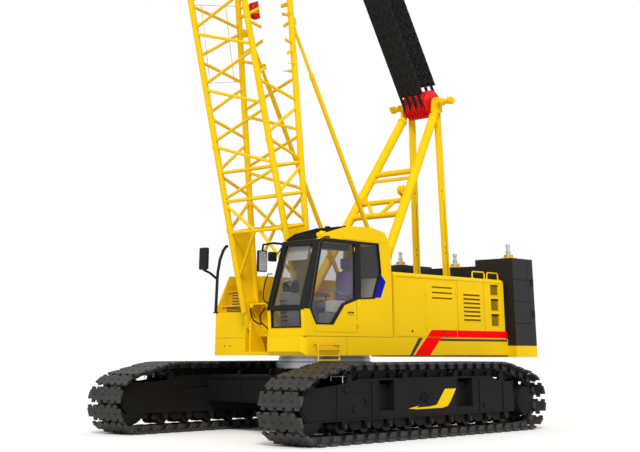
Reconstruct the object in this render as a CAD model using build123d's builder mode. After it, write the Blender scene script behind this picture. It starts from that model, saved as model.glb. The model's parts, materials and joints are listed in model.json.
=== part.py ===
"""Crawler crane with a 16 m lattice boom, full size, in millimetres.

+X is forward, +Y is the machine's left and +Z is up. The origin is on the ground under
the slewing axis. The boom stands at its rest angle; everything is written at rest.
"""

import os
from math import acos, atan2, cos, degrees, hypot, pi, radians, sin, sqrt

from build123d import *

# ---- driving dimensions -------------------------------------------------------------
running_gap = 0.3  # between curved or turning faces of different pieces
pin_gap = 0.08  # radial, pin in its bore

# crawlers
track_gauge = 4000.0  # between the middles of the two crawlers
shoe_width = 850.0
shoe_thickness = 40.0
shoe_gap = 36.0  # between shoes on the straight runs
shoe_count = 52
tumbler_span = 5440.0  # between idler and sprocket axles
track_radius = 475.0  # outside of the shoes round the tumblers
top_run = 1120.0  # outside of the shoes on the upper run
end_carrier_x = 1980.0  # carriers where the upper run bends down to the tumblers
link_width = 420.0
link_sink = 15.0  # how far the shoes are let into the links
link_depth = 105.0
frame_width = 600.0  # crawler side frame, across
side_plate = 60.0
frame_bottom = 312.0
frame_top = 890.0
frame_end_top = 795.0
roller_radius = 108.0
roller_count = 9
roller_pitch = 520.0
carrier_radius = 66.0
drive_radius = 228.0

# carbody and slewing ring
beam_bottom = 460.0
beam_top = 900.0
beam_front = 1130.0
beam_length = 480.0  # fore and aft, each cross beam
pedestal_radius = 860.0
pedestal_top = 1000.0
ring_radius = 830.0
ring_split = 1110.0

# slewing upper works
deck_bottom = 1214.0
deck_top = 1500.0
side_y = 1572.0  # outer faces of cab, hood and deck
house_inner_y = 900.0
rear_x = -3310.0
cab_front_x = 2190.0
cab_rear_x = 20.0
cab_inner_y = 790.0
right_front_x = 1130.0
right_box_top = 1920.0
house_top = 2550.0
panel = 40.0  # sheet panels with their frames
centre_plate_y = 780.0  # outer faces of the two long plates of the main frame
centre_plate = 45.0

# boom
foot_x = 1130.0
foot_z = 1715.0
boom_angle = 78.9  # above horizontal, at rest
butt_length = 6500.0
insert_length = 3000.0
top_length = 6500.0
boom_half_width = 653.0  # chord centre lines
boom_half_depth = 655.0
foot_half_depth = 125.0
head_half_depth = 200.0
head_taper = 3600.0
chord_radius = 56.0  # to the corners of the eight-sided chord
lacing_side = 42.0  # square bars, inside the flats of the chords
lacing_pitch = 500.0  # along the boom, one bar
node_gap = 50.0  # from a level to the ends of the bars above and below it
foot_pin_radius = 50.0

# gantry
gantry_x = -2980.0
gantry_z = 6050.0
gantry_half = 390.0
leg_radius = 85.0
leg_foot_x = -330.0
leg_foot_z = 2050.0
leg_foot_y = 790.0
link_foot_x = -3160.0
link_foot_z = 1950.0

# backstops
stop_y = 550.0
stop_foot_x = -1190.0
stop_foot_z = 2300.0
stop_reach = 5050.0  # along the boom from its foot
stop_depth = -660.0  # behind the boom's middle plane

# counterweight
weight_front = -3340.0
weight_rear = -4370.0
weight_half = 1750.0
weight_inner = 905.0
tray_bottom = 1180.0
tray_top = 1380.0
stack_top = 2950.0
centre_top = 2840.0

# hoist
hook_drop = 4600.0  # boom head axle to hook block axle
falls_length = 5200.0  # luffing falls, gantry axle to spreader, at rest

os.makedirs("parts", exist_ok=True)


def save(part, name):
    part.label = name
    export_step(part, f"parts/{name}.step")


def block(low, high, mode=Mode.ADD):
    """A box between two corners."""
    centre = [(a + b) / 2 for a, b in zip(low, high)]
    with Locations(tuple(centre)):
        return Box(*[b - a for a, b in zip(low, high)], mode=mode)


def rod(start, end, radius, sides=12, mode=Mode.ADD, x_dir=None, turn=0):
    """A bar between two points, with few faces, or truly round where sides is 0."""
    start = Vector(*start)
    end = Vector(*end)
    with BuildSketch(Plane(start, x_dir=x_dir, z_dir=end - start)) as section:
        if sides:
            RegularPolygon(radius, sides, rotation=turn)
        else:
            Circle(radius)
    return extrude(section.sketch, amount=(end - start).length, mode=mode)


def disc(x, z, radius, low_y, high_y, sides=12, mode=Mode.ADD, turn=0):
    """A wheel, pin or bore along Y, with a corner at each end of X where turn is 0."""
    return rod((x, low_y, z), (x, high_y, z), radius, sides, mode, (1, 0, 0), turn)


def plate_xz(points, low_y, high_y, mode=Mode.ADD):
    """A plate whose outline is in XZ, between two Y faces."""
    with BuildSketch(Plane.XZ.offset(-high_y)) as outline:
        Polygon(*points, align=None)
    return extrude(outline.sketch, amount=high_y - low_y, mode=mode)


def plate_xy(points, low_z, high_z, mode=Mode.ADD):
    """A slab whose outline is in XY, between two levels."""
    with BuildSketch(Plane.XY.offset(low_z)) as outline:
        Polygon(*points, align=None)
    return extrude(outline.sketch, amount=high_z - low_z, mode=mode)


def plate_yz(points, low_x, high_x, mode=Mode.ADD):
    """A wall whose outline is in YZ, between two X faces."""
    with BuildSketch(Plane.YZ.offset(low_x)) as outline:
        Polygon(*points, align=None)
    return extrude(outline.sketch, amount=high_x - low_x, mode=mode)


def bar(start, end, radius, sides=6):
    """A rope run of few faces, kept apart from the piece being built."""
    start = Vector(*start)
    end = Vector(*end)
    with BuildSketch(Plane(start, z_dir=end - start)) as section:
        RegularPolygon(radius, sides)
    return extrude(section.sketch, amount=(end - start).length, mode=Mode.PRIVATE)


def square_bar(start, end, normal):
    """A lacing bar with two of its sides along the lattice face of this normal."""
    start = Vector(*start)
    end = Vector(*end)
    with BuildSketch(Plane(start, x_dir=normal, z_dir=end - start)) as section:
        Rectangle(lacing_side, lacing_side)
    return extrude(section.sketch, amount=(end - start).length, mode=Mode.PRIVATE)


# ---- crawlers -----------------------------------------------------------------------
track_z = track_radius  # height of both axles
link_outer = track_radius - shoe_thickness + link_sink
link_inner = link_outer - link_depth
pitch_radius = (link_outer + link_inner) / 2
tumbler_x = tumbler_span / 2
carrier_pitch = carrier_radius + link_depth / 2
end_carrier_z = top_run - (track_radius - pitch_radius) - carrier_pitch
rise = end_carrier_z - track_z
reach_back = tumbler_x - end_carrier_x
centres = hypot(reach_back, rise)
# direction of the outward normal on the sloping runs, above +X at the front
lean = atan2(rise, -reach_back) - acos((pitch_radius - carrier_pitch) / centres)
slope_length = sqrt(centres ** 2 - (pitch_radius - carrier_pitch) ** 2)

# the pitch line, anticlockwise from the rear foot
# columns: centre X and Z, radius, first normal, turn, straight after it
turns = (
    (-tumbler_x, track_z, pitch_radius, pi - lean, pi / 2 + lean, tumbler_span),
    (tumbler_x, track_z, pitch_radius, -pi / 2, pi / 2 + lean, slope_length),
    (end_carrier_x, end_carrier_z, carrier_pitch, lean, pi / 2 - lean, 2 * end_carrier_x),
    (-end_carrier_x, end_carrier_z, carrier_pitch, pi / 2, pi / 2 - lean, slope_length),
)
loop_length = sum(radius * turn + straight for _, _, radius, _, turn, straight in turns)
shoe_pitch = loop_length / shoe_count
shoe_length = shoe_pitch - shoe_gap


def pin_place(distance):
    """X and Z of a track pin, at a distance along the pitch line."""
    distance = distance % loop_length
    for x, z, radius, first, turn, straight in turns:
        if distance < radius * turn:
            angle = first + distance / radius
            return x + radius * cos(angle), z + radius * sin(angle)
        distance -= radius * turn
        if distance < straight:
            angle = first + turn
            return (
                x + radius * cos(angle) - distance * sin(angle),
                z + radius * sin(angle) + distance * cos(angle),
            )
        distance -= straight
    return pin_place(0)


def belt(shift):
    """The outline of the belt, moved outwards from its pitch line."""
    with BuildSketch() as outline:
        with BuildLine():
            ends = []
            for x, z, radius, first, turn, _ in turns:
                arc = CenterArc((x, z), radius + shift, degrees(first), degrees(turn))
                ends.append((arc @ 0, arc @ 1))
            for index in range(len(ends)):
                Line(ends[index][1], ends[(index + 1) % len(ends)][0])
        make_face()
    return outline.sketch


def make_track(name, middle_y):
    with BuildPart() as track:
        with BuildSketch(Plane.XZ.offset(-(middle_y + link_width / 2))):
            add(belt(link_depth / 2))
            add(belt(-link_depth / 2), mode=Mode.SUBTRACT)
        extrude(amount=link_width)
        shoes = []
        for index in range(shoe_count):
            low_x, low_z = pin_place(index * shoe_pitch)
            high_x, high_z = pin_place((index + 1) * shoe_pitch)
            centre = ((low_x + high_x) / 2, middle_y, (low_z + high_z) / 2)
            along = (high_x - low_x, 0, high_z - low_z)
            link = Plane(centre, x_dir=along, z_dir=(along[2], 0, -along[0]))
            with Locations(link.offset(track_radius - shoe_thickness / 2 - pitch_radius)):
                shoes.append(Box(shoe_length, shoe_width, shoe_thickness, mode=Mode.PRIVATE))
        add(shoes)
    save(track.part, name)


frame_inner_front = tumbler_span / 2 - link_inner - 20
frame_box_top = frame_top - 90
core_rear = -frame_inner_front + 15


def make_track_frame(name, side):
    """side is 1 on the left and -1 on the right; the outline is the same on both."""
    outer = side * (track_gauge + frame_width) / 2
    inner = side * (track_gauge - frame_width) / 2
    low_y, high_y = sorted((outer, inner))
    idler_x = tumbler_span / 2
    cheek = link_inner - 30
    front = idler_x + cheek
    rear = -tumbler_span / 2 + drive_radius + 165
    outline = [
        (rear, frame_bottom), (front - 130, frame_bottom), (front, frame_bottom + 130),
        (front, frame_end_top - 150), (front - 90, frame_end_top - 45), (2390, frame_end_top),
        (2080, frame_top - 65), (1750, frame_top), (-1650, frame_top), (-1930, frame_end_top),
        (rear, frame_end_top),
    ]
    core = [
        (core_rear, frame_bottom + 90), (frame_inner_front, frame_bottom + 90),
        (frame_inner_front, frame_box_top - 120), (1800, frame_box_top),
        (-1600, frame_box_top), (core_rear, frame_box_top - 120),
    ]
    with BuildPart() as frame:
        plate_xz(core, low_y + side_plate / 2, high_y - side_plate / 2)
        for face in (low_y, high_y - side_plate):
            plate_xz(outline, face, face + side_plate)
            ears = []
            for index in range(roller_count):
                x = (index - (roller_count - 1) / 2) * roller_pitch
                ears += [(x - 75, frame_bottom), (x - 42, roller_z - 40)]
                ears += [(x + 42, roller_z - 40), (x + 75, frame_bottom)]
            root = frame_bottom + 40
            plate_xz([(ears[0][0], root), *ears, (ears[-1][0], root)], face, face + side_plate)
            for x in carrier_places:
                ear = [(x - 75, frame_top - 120), (x - 40, carrier_z + 40)]
                ear += [(x + 40, carrier_z + 40), (x + 75, frame_top - 120)]
                plate_xz(ear, face, face + side_plate)
        skin = high_y if side > 0 else low_y
        for low_x, high_x, low_z in ((940, 1310, 430), (-1120, -690, 430)):
            deep = skin - side * 130
            low = (low_x, min(skin, deep), low_z)
            block(low, (high_x, max(skin, deep), frame_top - 25), mode=Mode.SUBTRACT)
    save(frame.part, name)


roller_z = track_z - link_inner + roller_radius + running_gap
carrier_z = end_carrier_z - running_gap
carrier_places = (-end_carrier_x, -660.0, 660.0, end_carrier_x)
wheel_half = frame_width / 2 - side_plate - running_gap


def make_rollers():
    places = []
    for index in range(roller_count):
        places.append(((index - (roller_count - 1) / 2) * roller_pitch, roller_z, roller_radius))
    for x in carrier_places:
        places.append((x, carrier_z, carrier_radius))
    with BuildPart() as rollers:
        for side in (1, -1):
            middle = side * track_gauge / 2
            for x, z, radius in places:
                disc(x, z, radius, middle - wheel_half, middle + wheel_half, 8)
    save(rollers.part, "track_rollers")


def make_tumblers():
    with BuildPart() as idlers:
        for side in (1, -1):
            middle = side * track_gauge / 2
            x = tumbler_span / 2
            disc(x, track_z, link_inner - running_gap, middle - wheel_half, middle + wheel_half, 24)
    save(idlers.part, "idlers")
    with BuildPart() as drives:
        for side in (1, -1):
            middle = side * track_gauge / 2
            x = -tumbler_span / 2
            disc(x, track_z, link_inner - running_gap, middle - 60, middle + 60, 24)
            low_y = middle - frame_width / 2 + 10
            disc(x, track_z, drive_radius + 30, low_y, middle + frame_width / 2 - 60, 16)
            face = middle + side * (frame_width / 2 - 15)
            disc(x, track_z, drive_radius, min(middle, face), max(middle, face), 16)
            for low_y in (middle - 200, middle + 75):
                block((x, low_y, track_z - 130), (core_rear, low_y + 125, track_z + 130))
    save(drives.part, "final_drives")


# ---- carbody ------------------------------------------------------------------------
def make_carbody():
    reach = (track_gauge - frame_width) / 2
    with BuildPart() as carbody:
        for front in (beam_front, -beam_front + beam_length):
            block((front - beam_length, -reach, beam_bottom), (front, reach, beam_top))
        plate_xy(
            [(-beam_front + 60, -900), (-700, -1150), (700, -1150), (beam_front - 60, -900),
             (beam_front - 60, 900), (700, 1150), (-700, 1150), (-beam_front + 60, 900)],
            beam_bottom, beam_top,
        )
        rod((0, 0, beam_top - 10), (0, 0, pedestal_top), pedestal_radius, 32)
        for y in (-1000, 1000):
            lug = [
                (beam_front - 120, beam_top - 10), (beam_front - 95, beam_top + 75),
                (beam_front - 45, beam_top + 75), (beam_front - 20, beam_top - 10),
            ]
            plate_xz(lug, y - 20, y + 20)
            plate_xz([(-x, z) for x, z in lug], y - 20, y + 20)
    save(carbody.part, "carbody")
    with BuildPart() as ring:
        with BuildSketch(Plane.XY.offset(pedestal_top)):
            RegularPolygon(ring_radius, 48)
        extrude(amount=ring_split - pedestal_top)
    save(ring.part, "slew_ring_lower")
    with BuildPart() as ring:
        with BuildSketch(Plane.XY.offset(ring_split + running_gap)):
            RegularPolygon(ring_radius - 35, 48)
        extrude(amount=deck_bottom - ring_split - running_gap)
    save(ring.part, "slew_ring_upper")


for side_name, side in (("left", 1), ("right", -1)):
    make_track("track_" + side_name, side * track_gauge / 2)
    make_track_frame("track_frame_" + side_name, side)
make_rollers()
make_tumblers()
make_carbody()

# ---- main frame, decks and houses ---------------------------------------------------
foot_lug = 80.0  # boom foot lug, across
foot_cheek = 40.0
foot_cheek_gap = 6.0
plate_inner = centre_plate_y - centre_plate


def make_main_frame():
    with BuildPart() as frame:
        block((rear_x + 20, -centre_plate_y, deck_bottom), (1250, centre_plate_y, deck_bottom + 60))
        side_outline = [
            (rear_x + 20, deck_bottom), (1250, deck_bottom), (1250, 1330), (1210, 1400),
            (foot_x - 300, 1480), (300, deck_top), (rear_x + 20, deck_top),
        ]
        for side in (1, -1):
            low_y, high_y = sorted((side * centre_plate_y, side * plate_inner))
            plate_xz(side_outline, low_y, high_y)
        # boom foot cheeks, in pairs round each foot lug
        cheek = [
            (foot_x - 260, deck_bottom + 50), (foot_x + 110, deck_bottom + 50), (foot_x + 105, foot_z - 40),
            (foot_x + 75, foot_z + 75), (foot_x, foot_z + 105), (foot_x - 75, foot_z + 75),
            (foot_x - 120, foot_z - 40),
        ]
        for side in (1, -1):
            for offset in (foot_lug / 2 + foot_cheek_gap, -foot_lug / 2 - foot_cheek_gap - foot_cheek):
                low = side * boom_half_width + offset
                plate_xz(cheek, low, low + foot_cheek)
            inner = side * boom_half_width - foot_lug / 2 - foot_cheek_gap - foot_cheek
            outer = side * boom_half_width + foot_lug / 2 + foot_cheek_gap + foot_cheek
            disc(foot_x, foot_z, foot_pin_radius, inner + foot_cheek - 1, outer - foot_cheek + 1, 0)
        # gantry leg and rear link brackets
        for side in (1, -1):
            low_y, high_y = sorted((side * (leg_foot_y - 68), side * (leg_foot_y + 68)))
            block((leg_foot_x - 190, low_y, deck_top), (leg_foot_x + 190, high_y, deck_top + 40))
            leg = [
                (leg_foot_x - 190, deck_top), (leg_foot_x + 190, deck_top),
                (leg_foot_x + 75, leg_foot_z + 40), (leg_foot_x - 75, leg_foot_z + 40),
            ]
            for offset in (38, -38 - 30):
                plate_xz(leg, side * leg_foot_y + offset, side * leg_foot_y + offset + 30)
            for offset in (32 + running_gap, -80):
                low = side * leg_foot_y + offset
                disc(leg_foot_x, leg_foot_z, 45, low, low + 80 - 32 - running_gap, 8)
            link = [
                (link_foot_x - 120, deck_bottom + 50), (link_foot_x + 160, deck_bottom + 50),
                (link_foot_x + 60, link_foot_z + 60), (link_foot_x - 60, link_foot_z + 60),
            ]
            for offset in (35, -35 - 25):
                plate_xz(link, side * link_y_low + offset, side * link_y_low + offset + 25)
            for offset in (35, -70):
                low = side * link_y_low + offset
                disc(link_foot_x, link_foot_z, 38, low, low + 35, 8)
            # backstop feet
            foot = [
                (stop_foot_x - 160, deck_bottom + 50), (stop_foot_x + 160, deck_bottom + 50),
                (stop_foot_x + 60, stop_foot_z + 50), (stop_foot_x - 60, stop_foot_z + 50),
            ]
            for offset in (48, -48 - 20):
                plate_xz(foot, side * stop_y + offset, side * stop_y + offset + 20)
            for offset in (48, -76):
                disc(stop_foot_x, stop_foot_z, 34, side * stop_y + offset, side * stop_y + offset + 28, 8)
        # winch cheeks
        for x, z, radius, half in drums:
            wall = [
                (x - radius - 40, deck_bottom + 50), (x + radius + 40, deck_bottom + 50),
                (x + 90, z + 100), (x - 90, z + 100),
            ]
            for side in (1, -1):
                low = side * (half + 40) - 15
                plate_xz(wall, low, low + 30)
    save(frame.part, "main_frame")


falls_offset = 246.0
falls_radius = 10.0
link_y_top = 325.0
link_y_low = 370.0
drum_pin = 45.0
drums = ((330.0, 1760.0, 240.0, 330.0), (-640.0, 1760.0, 240.0, 330.0), (-2050.0, 1740.0, 220.0, 260.0))


def make_decks():
    with BuildPart() as left:
        front = [
            (rear_x - 30, deck_bottom), (cab_front_x - 60, deck_bottom), (cab_front_x, deck_bottom + 60),
            (cab_front_x, deck_top), (rear_x - 30, deck_top),
        ]
        plate_xz(front, centre_plate_y, side_y)
        edge = left.edges().filter_by(Axis.Z).group_by(Axis.X)[-1].sort_by(Axis.Y)[-1]
        fillet(edge, 110)
    with BuildPart() as decks:
        add(left.part)
        block((rear_x - 30, -side_y, deck_bottom), (right_front_x, -centre_plate_y, deck_top - 45))
        block((right_step_x, -side_y, deck_top - 45), (right_front_x, -centre_plate_y, right_box_top))
    save(decks.part, "decks")


right_step_x = 760.0
guard_top_z = 2560.0


def door_knuckles(x, levels):
    """The middle knuckles and leaves of a door hinged at its rear edge."""
    for z in levels:
        rod((x, hinge_y, z - 30), (x, hinge_y, z + 30), knuckle, 8)
        block((x + 4, side_y - 2, z - 30), (x + 70, side_y + 4, z + 30))


def fixed_knuckles(x, levels):
    """The outer knuckles and leaves on the wall beside a door."""
    for z in levels:
        for low_z in (z - 30 - running_gap - 30, z + 30 + running_gap):
            rod((x, hinge_y, low_z), (x, hinge_y, low_z + 30), knuckle, 8)
            block((x - 26, side_y - 2, low_z), (x - 3, side_y + 4, low_z + 30))


def make_houses():
    """Sheet houses: hollow, open below onto the decks, with their doorways cut."""
    with BuildPart() as house:
        block((rear_x, house_inner_y, deck_top), (cab_rear_x - 25, side_y, house_top))
        edge = house.edges().filter_by(Axis.X).group_by(Axis.Z)[-1].sort_by(Axis.Y)[-1]
        fillet(edge, 70)
        edge = house.edges().filter_by(Axis.Y).group_by(Axis.Z)[-1].sort_by(Axis.X)[0]
        chamfer(edge, 45)
        low = (rear_x + panel, house_inner_y + panel, deck_top - 10)
        block(low, (cab_rear_x - 25 - panel, side_y - panel, house_top - panel), mode=Mode.SUBTRACT)
        for low_x, high_x in hood_doors:
            low = (low_x, side_y - panel - 5, deck_top + door_sill)
            block(low, (high_x, side_y + 5, door_head), mode=Mode.SUBTRACT)
        # ladder recess at the rear and the louvred opening before it
        for low_z, high_z in ((1710, 1930), (1980, 2200), (2250, 2450)):
            block((-3110, side_y - panel - 5, low_z), (-2840, side_y + 5, high_z), mode=Mode.SUBTRACT)
        block((-2490, side_y - panel - 5, 1790), (-1970, side_y + 5, 2270), mode=Mode.SUBTRACT)
        # three broad slats
        for index in range(3):
            low_z = 1820 + index * 160
            slat = [(side_y - panel, low_z), (side_y - panel + 12, low_z)]
            slat += [(side_y - 4, low_z + 90), (side_y - 16, low_z + 90)]
            plate_yz(slat, -2495, -1965)
        for low_x, high_x in hood_doors:
            fixed_knuckles(low_x, hood_hinges)
    save(house.part, "house_left")
    with BuildPart() as house:
        outline = [
            (rear_x, deck_top - 45), (right_step_x, deck_top - 45), (right_step_x, 2100), (620, 2100),
            (620, house_top), (rear_x, house_top),
        ]
        plate_xz(outline, -side_y, -house_inner_y)
        edge = house.edges().filter_by(Axis.X).group_by(Axis.Z)[-1].sort_by(Axis.Y)[0]
        fillet(edge, 70)
        inner = [
            (rear_x + panel, deck_top - 55), (right_step_x - panel, deck_top - 55),
            (right_step_x - panel, 2100 - panel), (620 - panel, 2100 - panel),
            (620 - panel, house_top - panel), (rear_x + panel, house_top - panel),
        ]
        plate_xz(inner, -side_y + panel, -house_inner_y - panel, Mode.SUBTRACT)
        # sloped guard beside the steps
        guard = [
            (right_step_x - 140, 2100 - 10), (right_front_x - 5, right_box_top + running_gap),
            (right_front_x - 5, right_box_top + 60), (830, guard_top_z), (620, guard_top_z), (620, 2100),
        ]
        plate_xz(guard, -side_y, -side_y + 30)
    save(house.part, "house_right")
    with BuildPart() as engine:
        block((-2800, house_inner_y + panel + 20, deck_top), (-1750, side_y - panel - 50, deck_top + 900))
    save(engine.part, "engine")


door_sill = 12.0
door_head = 2470.0
hood_doors = ((-860.0, -45.0), (-1760.0, -890.0))
hood_hinges = (1700.0, 2270.0)
cab_hinges = (1720.0, 2850.0)
door_gap = 4.0
door_thick = 38.0
knuckle = 11.0
hinge_y = side_y + 12.0  # axis of every door hinge


def make_hood_doors():
    for name, (low_x, high_x) in zip(("hood_door_front", "hood_door_rear"), hood_doors):
        with BuildPart() as door:
            block(
                (low_x + door_gap, side_y - door_thick, deck_top + door_sill + door_gap),
                (high_x - door_gap, side_y, door_head - door_gap),
            )
            door_knuckles(low_x, hood_hinges)
        save(door.part, name)


make_main_frame()
make_decks()
make_houses()
make_hood_doors()


def make_drums():
    for name, (x, z, radius, half) in zip(("drum_main", "drum_auxiliary", "drum_luffing"), drums):
        with BuildPart() as drum:
            disc(x, z, radius - 60, -half, half, 12)
            disc(x, z, radius, -half, -half + 25, 16)
            disc(x, z, radius, half - 25, half, 16)
            disc(x, z, drum_pin, -half - 25 + running_gap, half + 25 - running_gap, 8)
        save(drum.part, name)


make_drums()

# ---- cab ----------------------------------------------------------------------------
cab_wall = 45.0
cab_outline = [
    (cab_rear_x, deck_top), (cab_front_x - 20, deck_top), (cab_front_x + 10, 1900), (1850, 2960),
    (1640, 3070), (1100, 3205), (520, 3225), (210, 3170), (70, 2960),
]
side_window = [
    (2030, 1900), (1910, 1690), (1540, 1690), (1270, 1990), (985, 2075), (985, 2940), (1740, 2940),
    (1785, 2890),
]
rear_window = [(860, 2090), (510, 2110), (335, 2520), (390, 2960), (860, 2960)]
inner_window = [(1760, 2880), (2060, 1960), (500, 1960), (380, 2900)]
door_rear_x = 935.0
door_outline = [
    (2075, 1900), (1960, 1560), (960, 1560), (935, 1590), (935, 2990), (1745, 2990), (1845, 2900),
]


def shrink(points, amount):
    """A smaller copy of an outline, by offsetting its sides inwards."""
    with BuildSketch() as sketch:
        Polygon(*points, align=None)
        offset(amount=-amount, kind=Kind.INTERSECTION, mode=Mode.REPLACE)
    return sketch.sketch


def make_cab():
    with BuildPart() as cab:
        plate_xz(cab_outline, cab_inner_y, side_y)
        with BuildSketch(Plane.XZ.offset(-(side_y - cab_wall))):
            add(shrink(cab_outline, cab_wall))
        extrude(amount=side_y - cab_inner_y - 2 * cab_wall, mode=Mode.SUBTRACT)
        plate_xz(door_outline, side_y - cab_wall - 5, side_y + 5, Mode.SUBTRACT)
        plate_xz(rear_window, side_y - cab_wall - 5, side_y + 5, Mode.SUBTRACT)
        plate_xz(inner_window, cab_inner_y - 5, cab_inner_y + cab_wall + 5, Mode.SUBTRACT)
        # windscreen, lower front glass, roof light and rear glass
        for low_z, high_z in ((1950, 2890), (1630, 1880)):
            low = (1700, cab_inner_y + 75, low_z)
            block(low, (cab_front_x + 40, side_y - 85, high_z), mode=Mode.SUBTRACT)
        block((1130, cab_inner_y + 75, 3000), (1600, side_y - 140, 3300), mode=Mode.SUBTRACT)
        low = (cab_rear_x - 10, cab_inner_y + 90, 2620)
        block(low, (cab_rear_x + 120, side_y - 90, 2880), mode=Mode.SUBTRACT)
        fixed_knuckles(door_rear_x, cab_hinges)
    save(cab.part, "cab_shell")
    with BuildPart() as glass:
        # panes stand in the middle of the walls, clear of their frames
        pane = 6.0
        middle = side_y - cab_wall / 2
        for points, y in ((rear_window, middle), (inner_window, cab_inner_y + cab_wall / 2)):
            with BuildSketch(Plane.XZ.offset(-(y + pane / 2))):
                add(shrink(points, running_gap))
            extrude(amount=pane)
        slope = (cab_front_x + 10 - 1850) / (2960 - 1900)
        for low_z, high_z, low_x, high_x in (
            (1950, 2890, cab_front_x - 12 - 50 * slope, cab_front_x - 12 - 990 * slope),
            (1630, 1880, cab_front_x - 33, cab_front_x - 14),
        ):
            low_z += running_gap
            high_z -= running_gap
            sheet = [(low_x - pane, low_z), (low_x, low_z), (high_x, high_z), (high_x - pane, high_z)]
            plate_xz(sheet, cab_inner_y + 75 + running_gap, side_y - 85 - running_gap)
    save(glass.part, "cab_glass")
    with BuildPart() as door:
        with BuildSketch(Plane.XZ.offset(-side_y)):
            add(shrink(door_outline, door_gap))
            add(shrink(side_window, 0.01), mode=Mode.SUBTRACT)
        extrude(amount=cab_wall)
        door_knuckles(door_rear_x, cab_hinges)
    save(door.part, "cab_door")
    with BuildPart() as glass:
        with BuildSketch(Plane.XZ.offset(-(side_y - cab_wall / 2 + 3))):
            add(shrink(side_window, running_gap))
        extrude(amount=6)
    save(glass.part, "door_glass")
    with BuildPart() as seat:
        seat_middle = (cab_inner_y + side_y) / 2
        block((700, seat_middle - 220, 1900), (1180, seat_middle + 220, 2030))
        plate_xz([(640, 1960), (780, 2000), (700, 2560), (600, 2560)], seat_middle - 220, seat_middle + 220)
        plate_xz([(600, 2570), (690, 2570), (680, 2740), (610, 2740)], seat_middle - 130, seat_middle + 130)
        plate_xz([(620, 2540), (680, 2540), (670, 2600), (620, 2600)], seat_middle - 60, seat_middle + 60)
        block((760, seat_middle - 160, deck_top + cab_wall), (1100, seat_middle + 160, 1905))
    save(seat.part, "seat")
    with BuildPart() as console:
        console_low = cab_inner_y + cab_wall + 5
        floor = deck_top + cab_wall
        column = [(1700, floor), (1950, floor), (1980, 2150), (1860, 2200), (1750, 2150)]
        plate_xz(column, console_low, console_low + 200)
        block((1000, console_low, deck_top + cab_wall), (1500, console_low + 75, 2080))
    save(console.part, "console")


make_cab()


# ---- counterweight ------------------------------------------------------------------
def make_counterweight():
    rear_plan = [
        (weight_front, -weight_half), (weight_front, weight_half), (weight_rear + 330, weight_half),
        (weight_rear + 90, weight_half - 230), (weight_rear, weight_half - 700),
        (weight_rear, -weight_half + 700), (weight_rear + 90, -weight_half + 230),
        (weight_rear + 330, -weight_half),
    ]
    with BuildPart() as tray:
        plate_xy(rear_plan, tray_bottom, tray_top)
    save(tray.part, "counterweight_tray")
    side_plan = [
        (weight_front, weight_inner), (weight_front, weight_half), (weight_rear + 330, weight_half),
        (weight_rear + 90, weight_half - 230), (weight_rear + 20, weight_inner),
    ]
    seams = 4
    with BuildPart() as stacks:
        height = (stack_top - tray_top) / seams
        for side in (1, -1):
            for index in range(seams):
                low = tray_top + index * height
                plate_xy([(x, side * y) for x, y in side_plan], low, low + height)
            for index in range(1, seams):
                low = tray_top + index * height
                low_y, high_y = sorted((side * (weight_half - 12), side * (weight_half + 10)))
                corner = (weight_front + 10, high_y, low + 6)
                block((weight_rear - 10, low_y, low - 6), corner, mode=Mode.SUBTRACT)
        middle = (weight_rear + 30, -weight_inner + 10, tray_top)
        block(middle, (weight_front - 60, weight_inner - 10, centre_top))
    save(stacks.part, "counterweight_slabs")
    with BuildPart() as posts:
        for y, low in ((-1340, stack_top), (60, centre_top), (1340, stack_top)):
            block((-3950, y - 110, low), (-3750, y + 110, low + 30))
            rod((-3850, y, low + 20), (-3850, y, low + 310), 45)
    save(posts.part, "lifting_posts")


make_counterweight()


# ---- gantry -------------------------------------------------------------------------
def leg_point(level, side):
    """Centre line of a front leg at a height."""
    share = (level - leg_foot_z) / (gantry_z - 230 - leg_foot_z)
    return (
        leg_foot_x + (gantry_x + 90 - leg_foot_x) * share,
        side * (leg_foot_y + (gantry_half - leg_foot_y) * share),
        level,
    )


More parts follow.
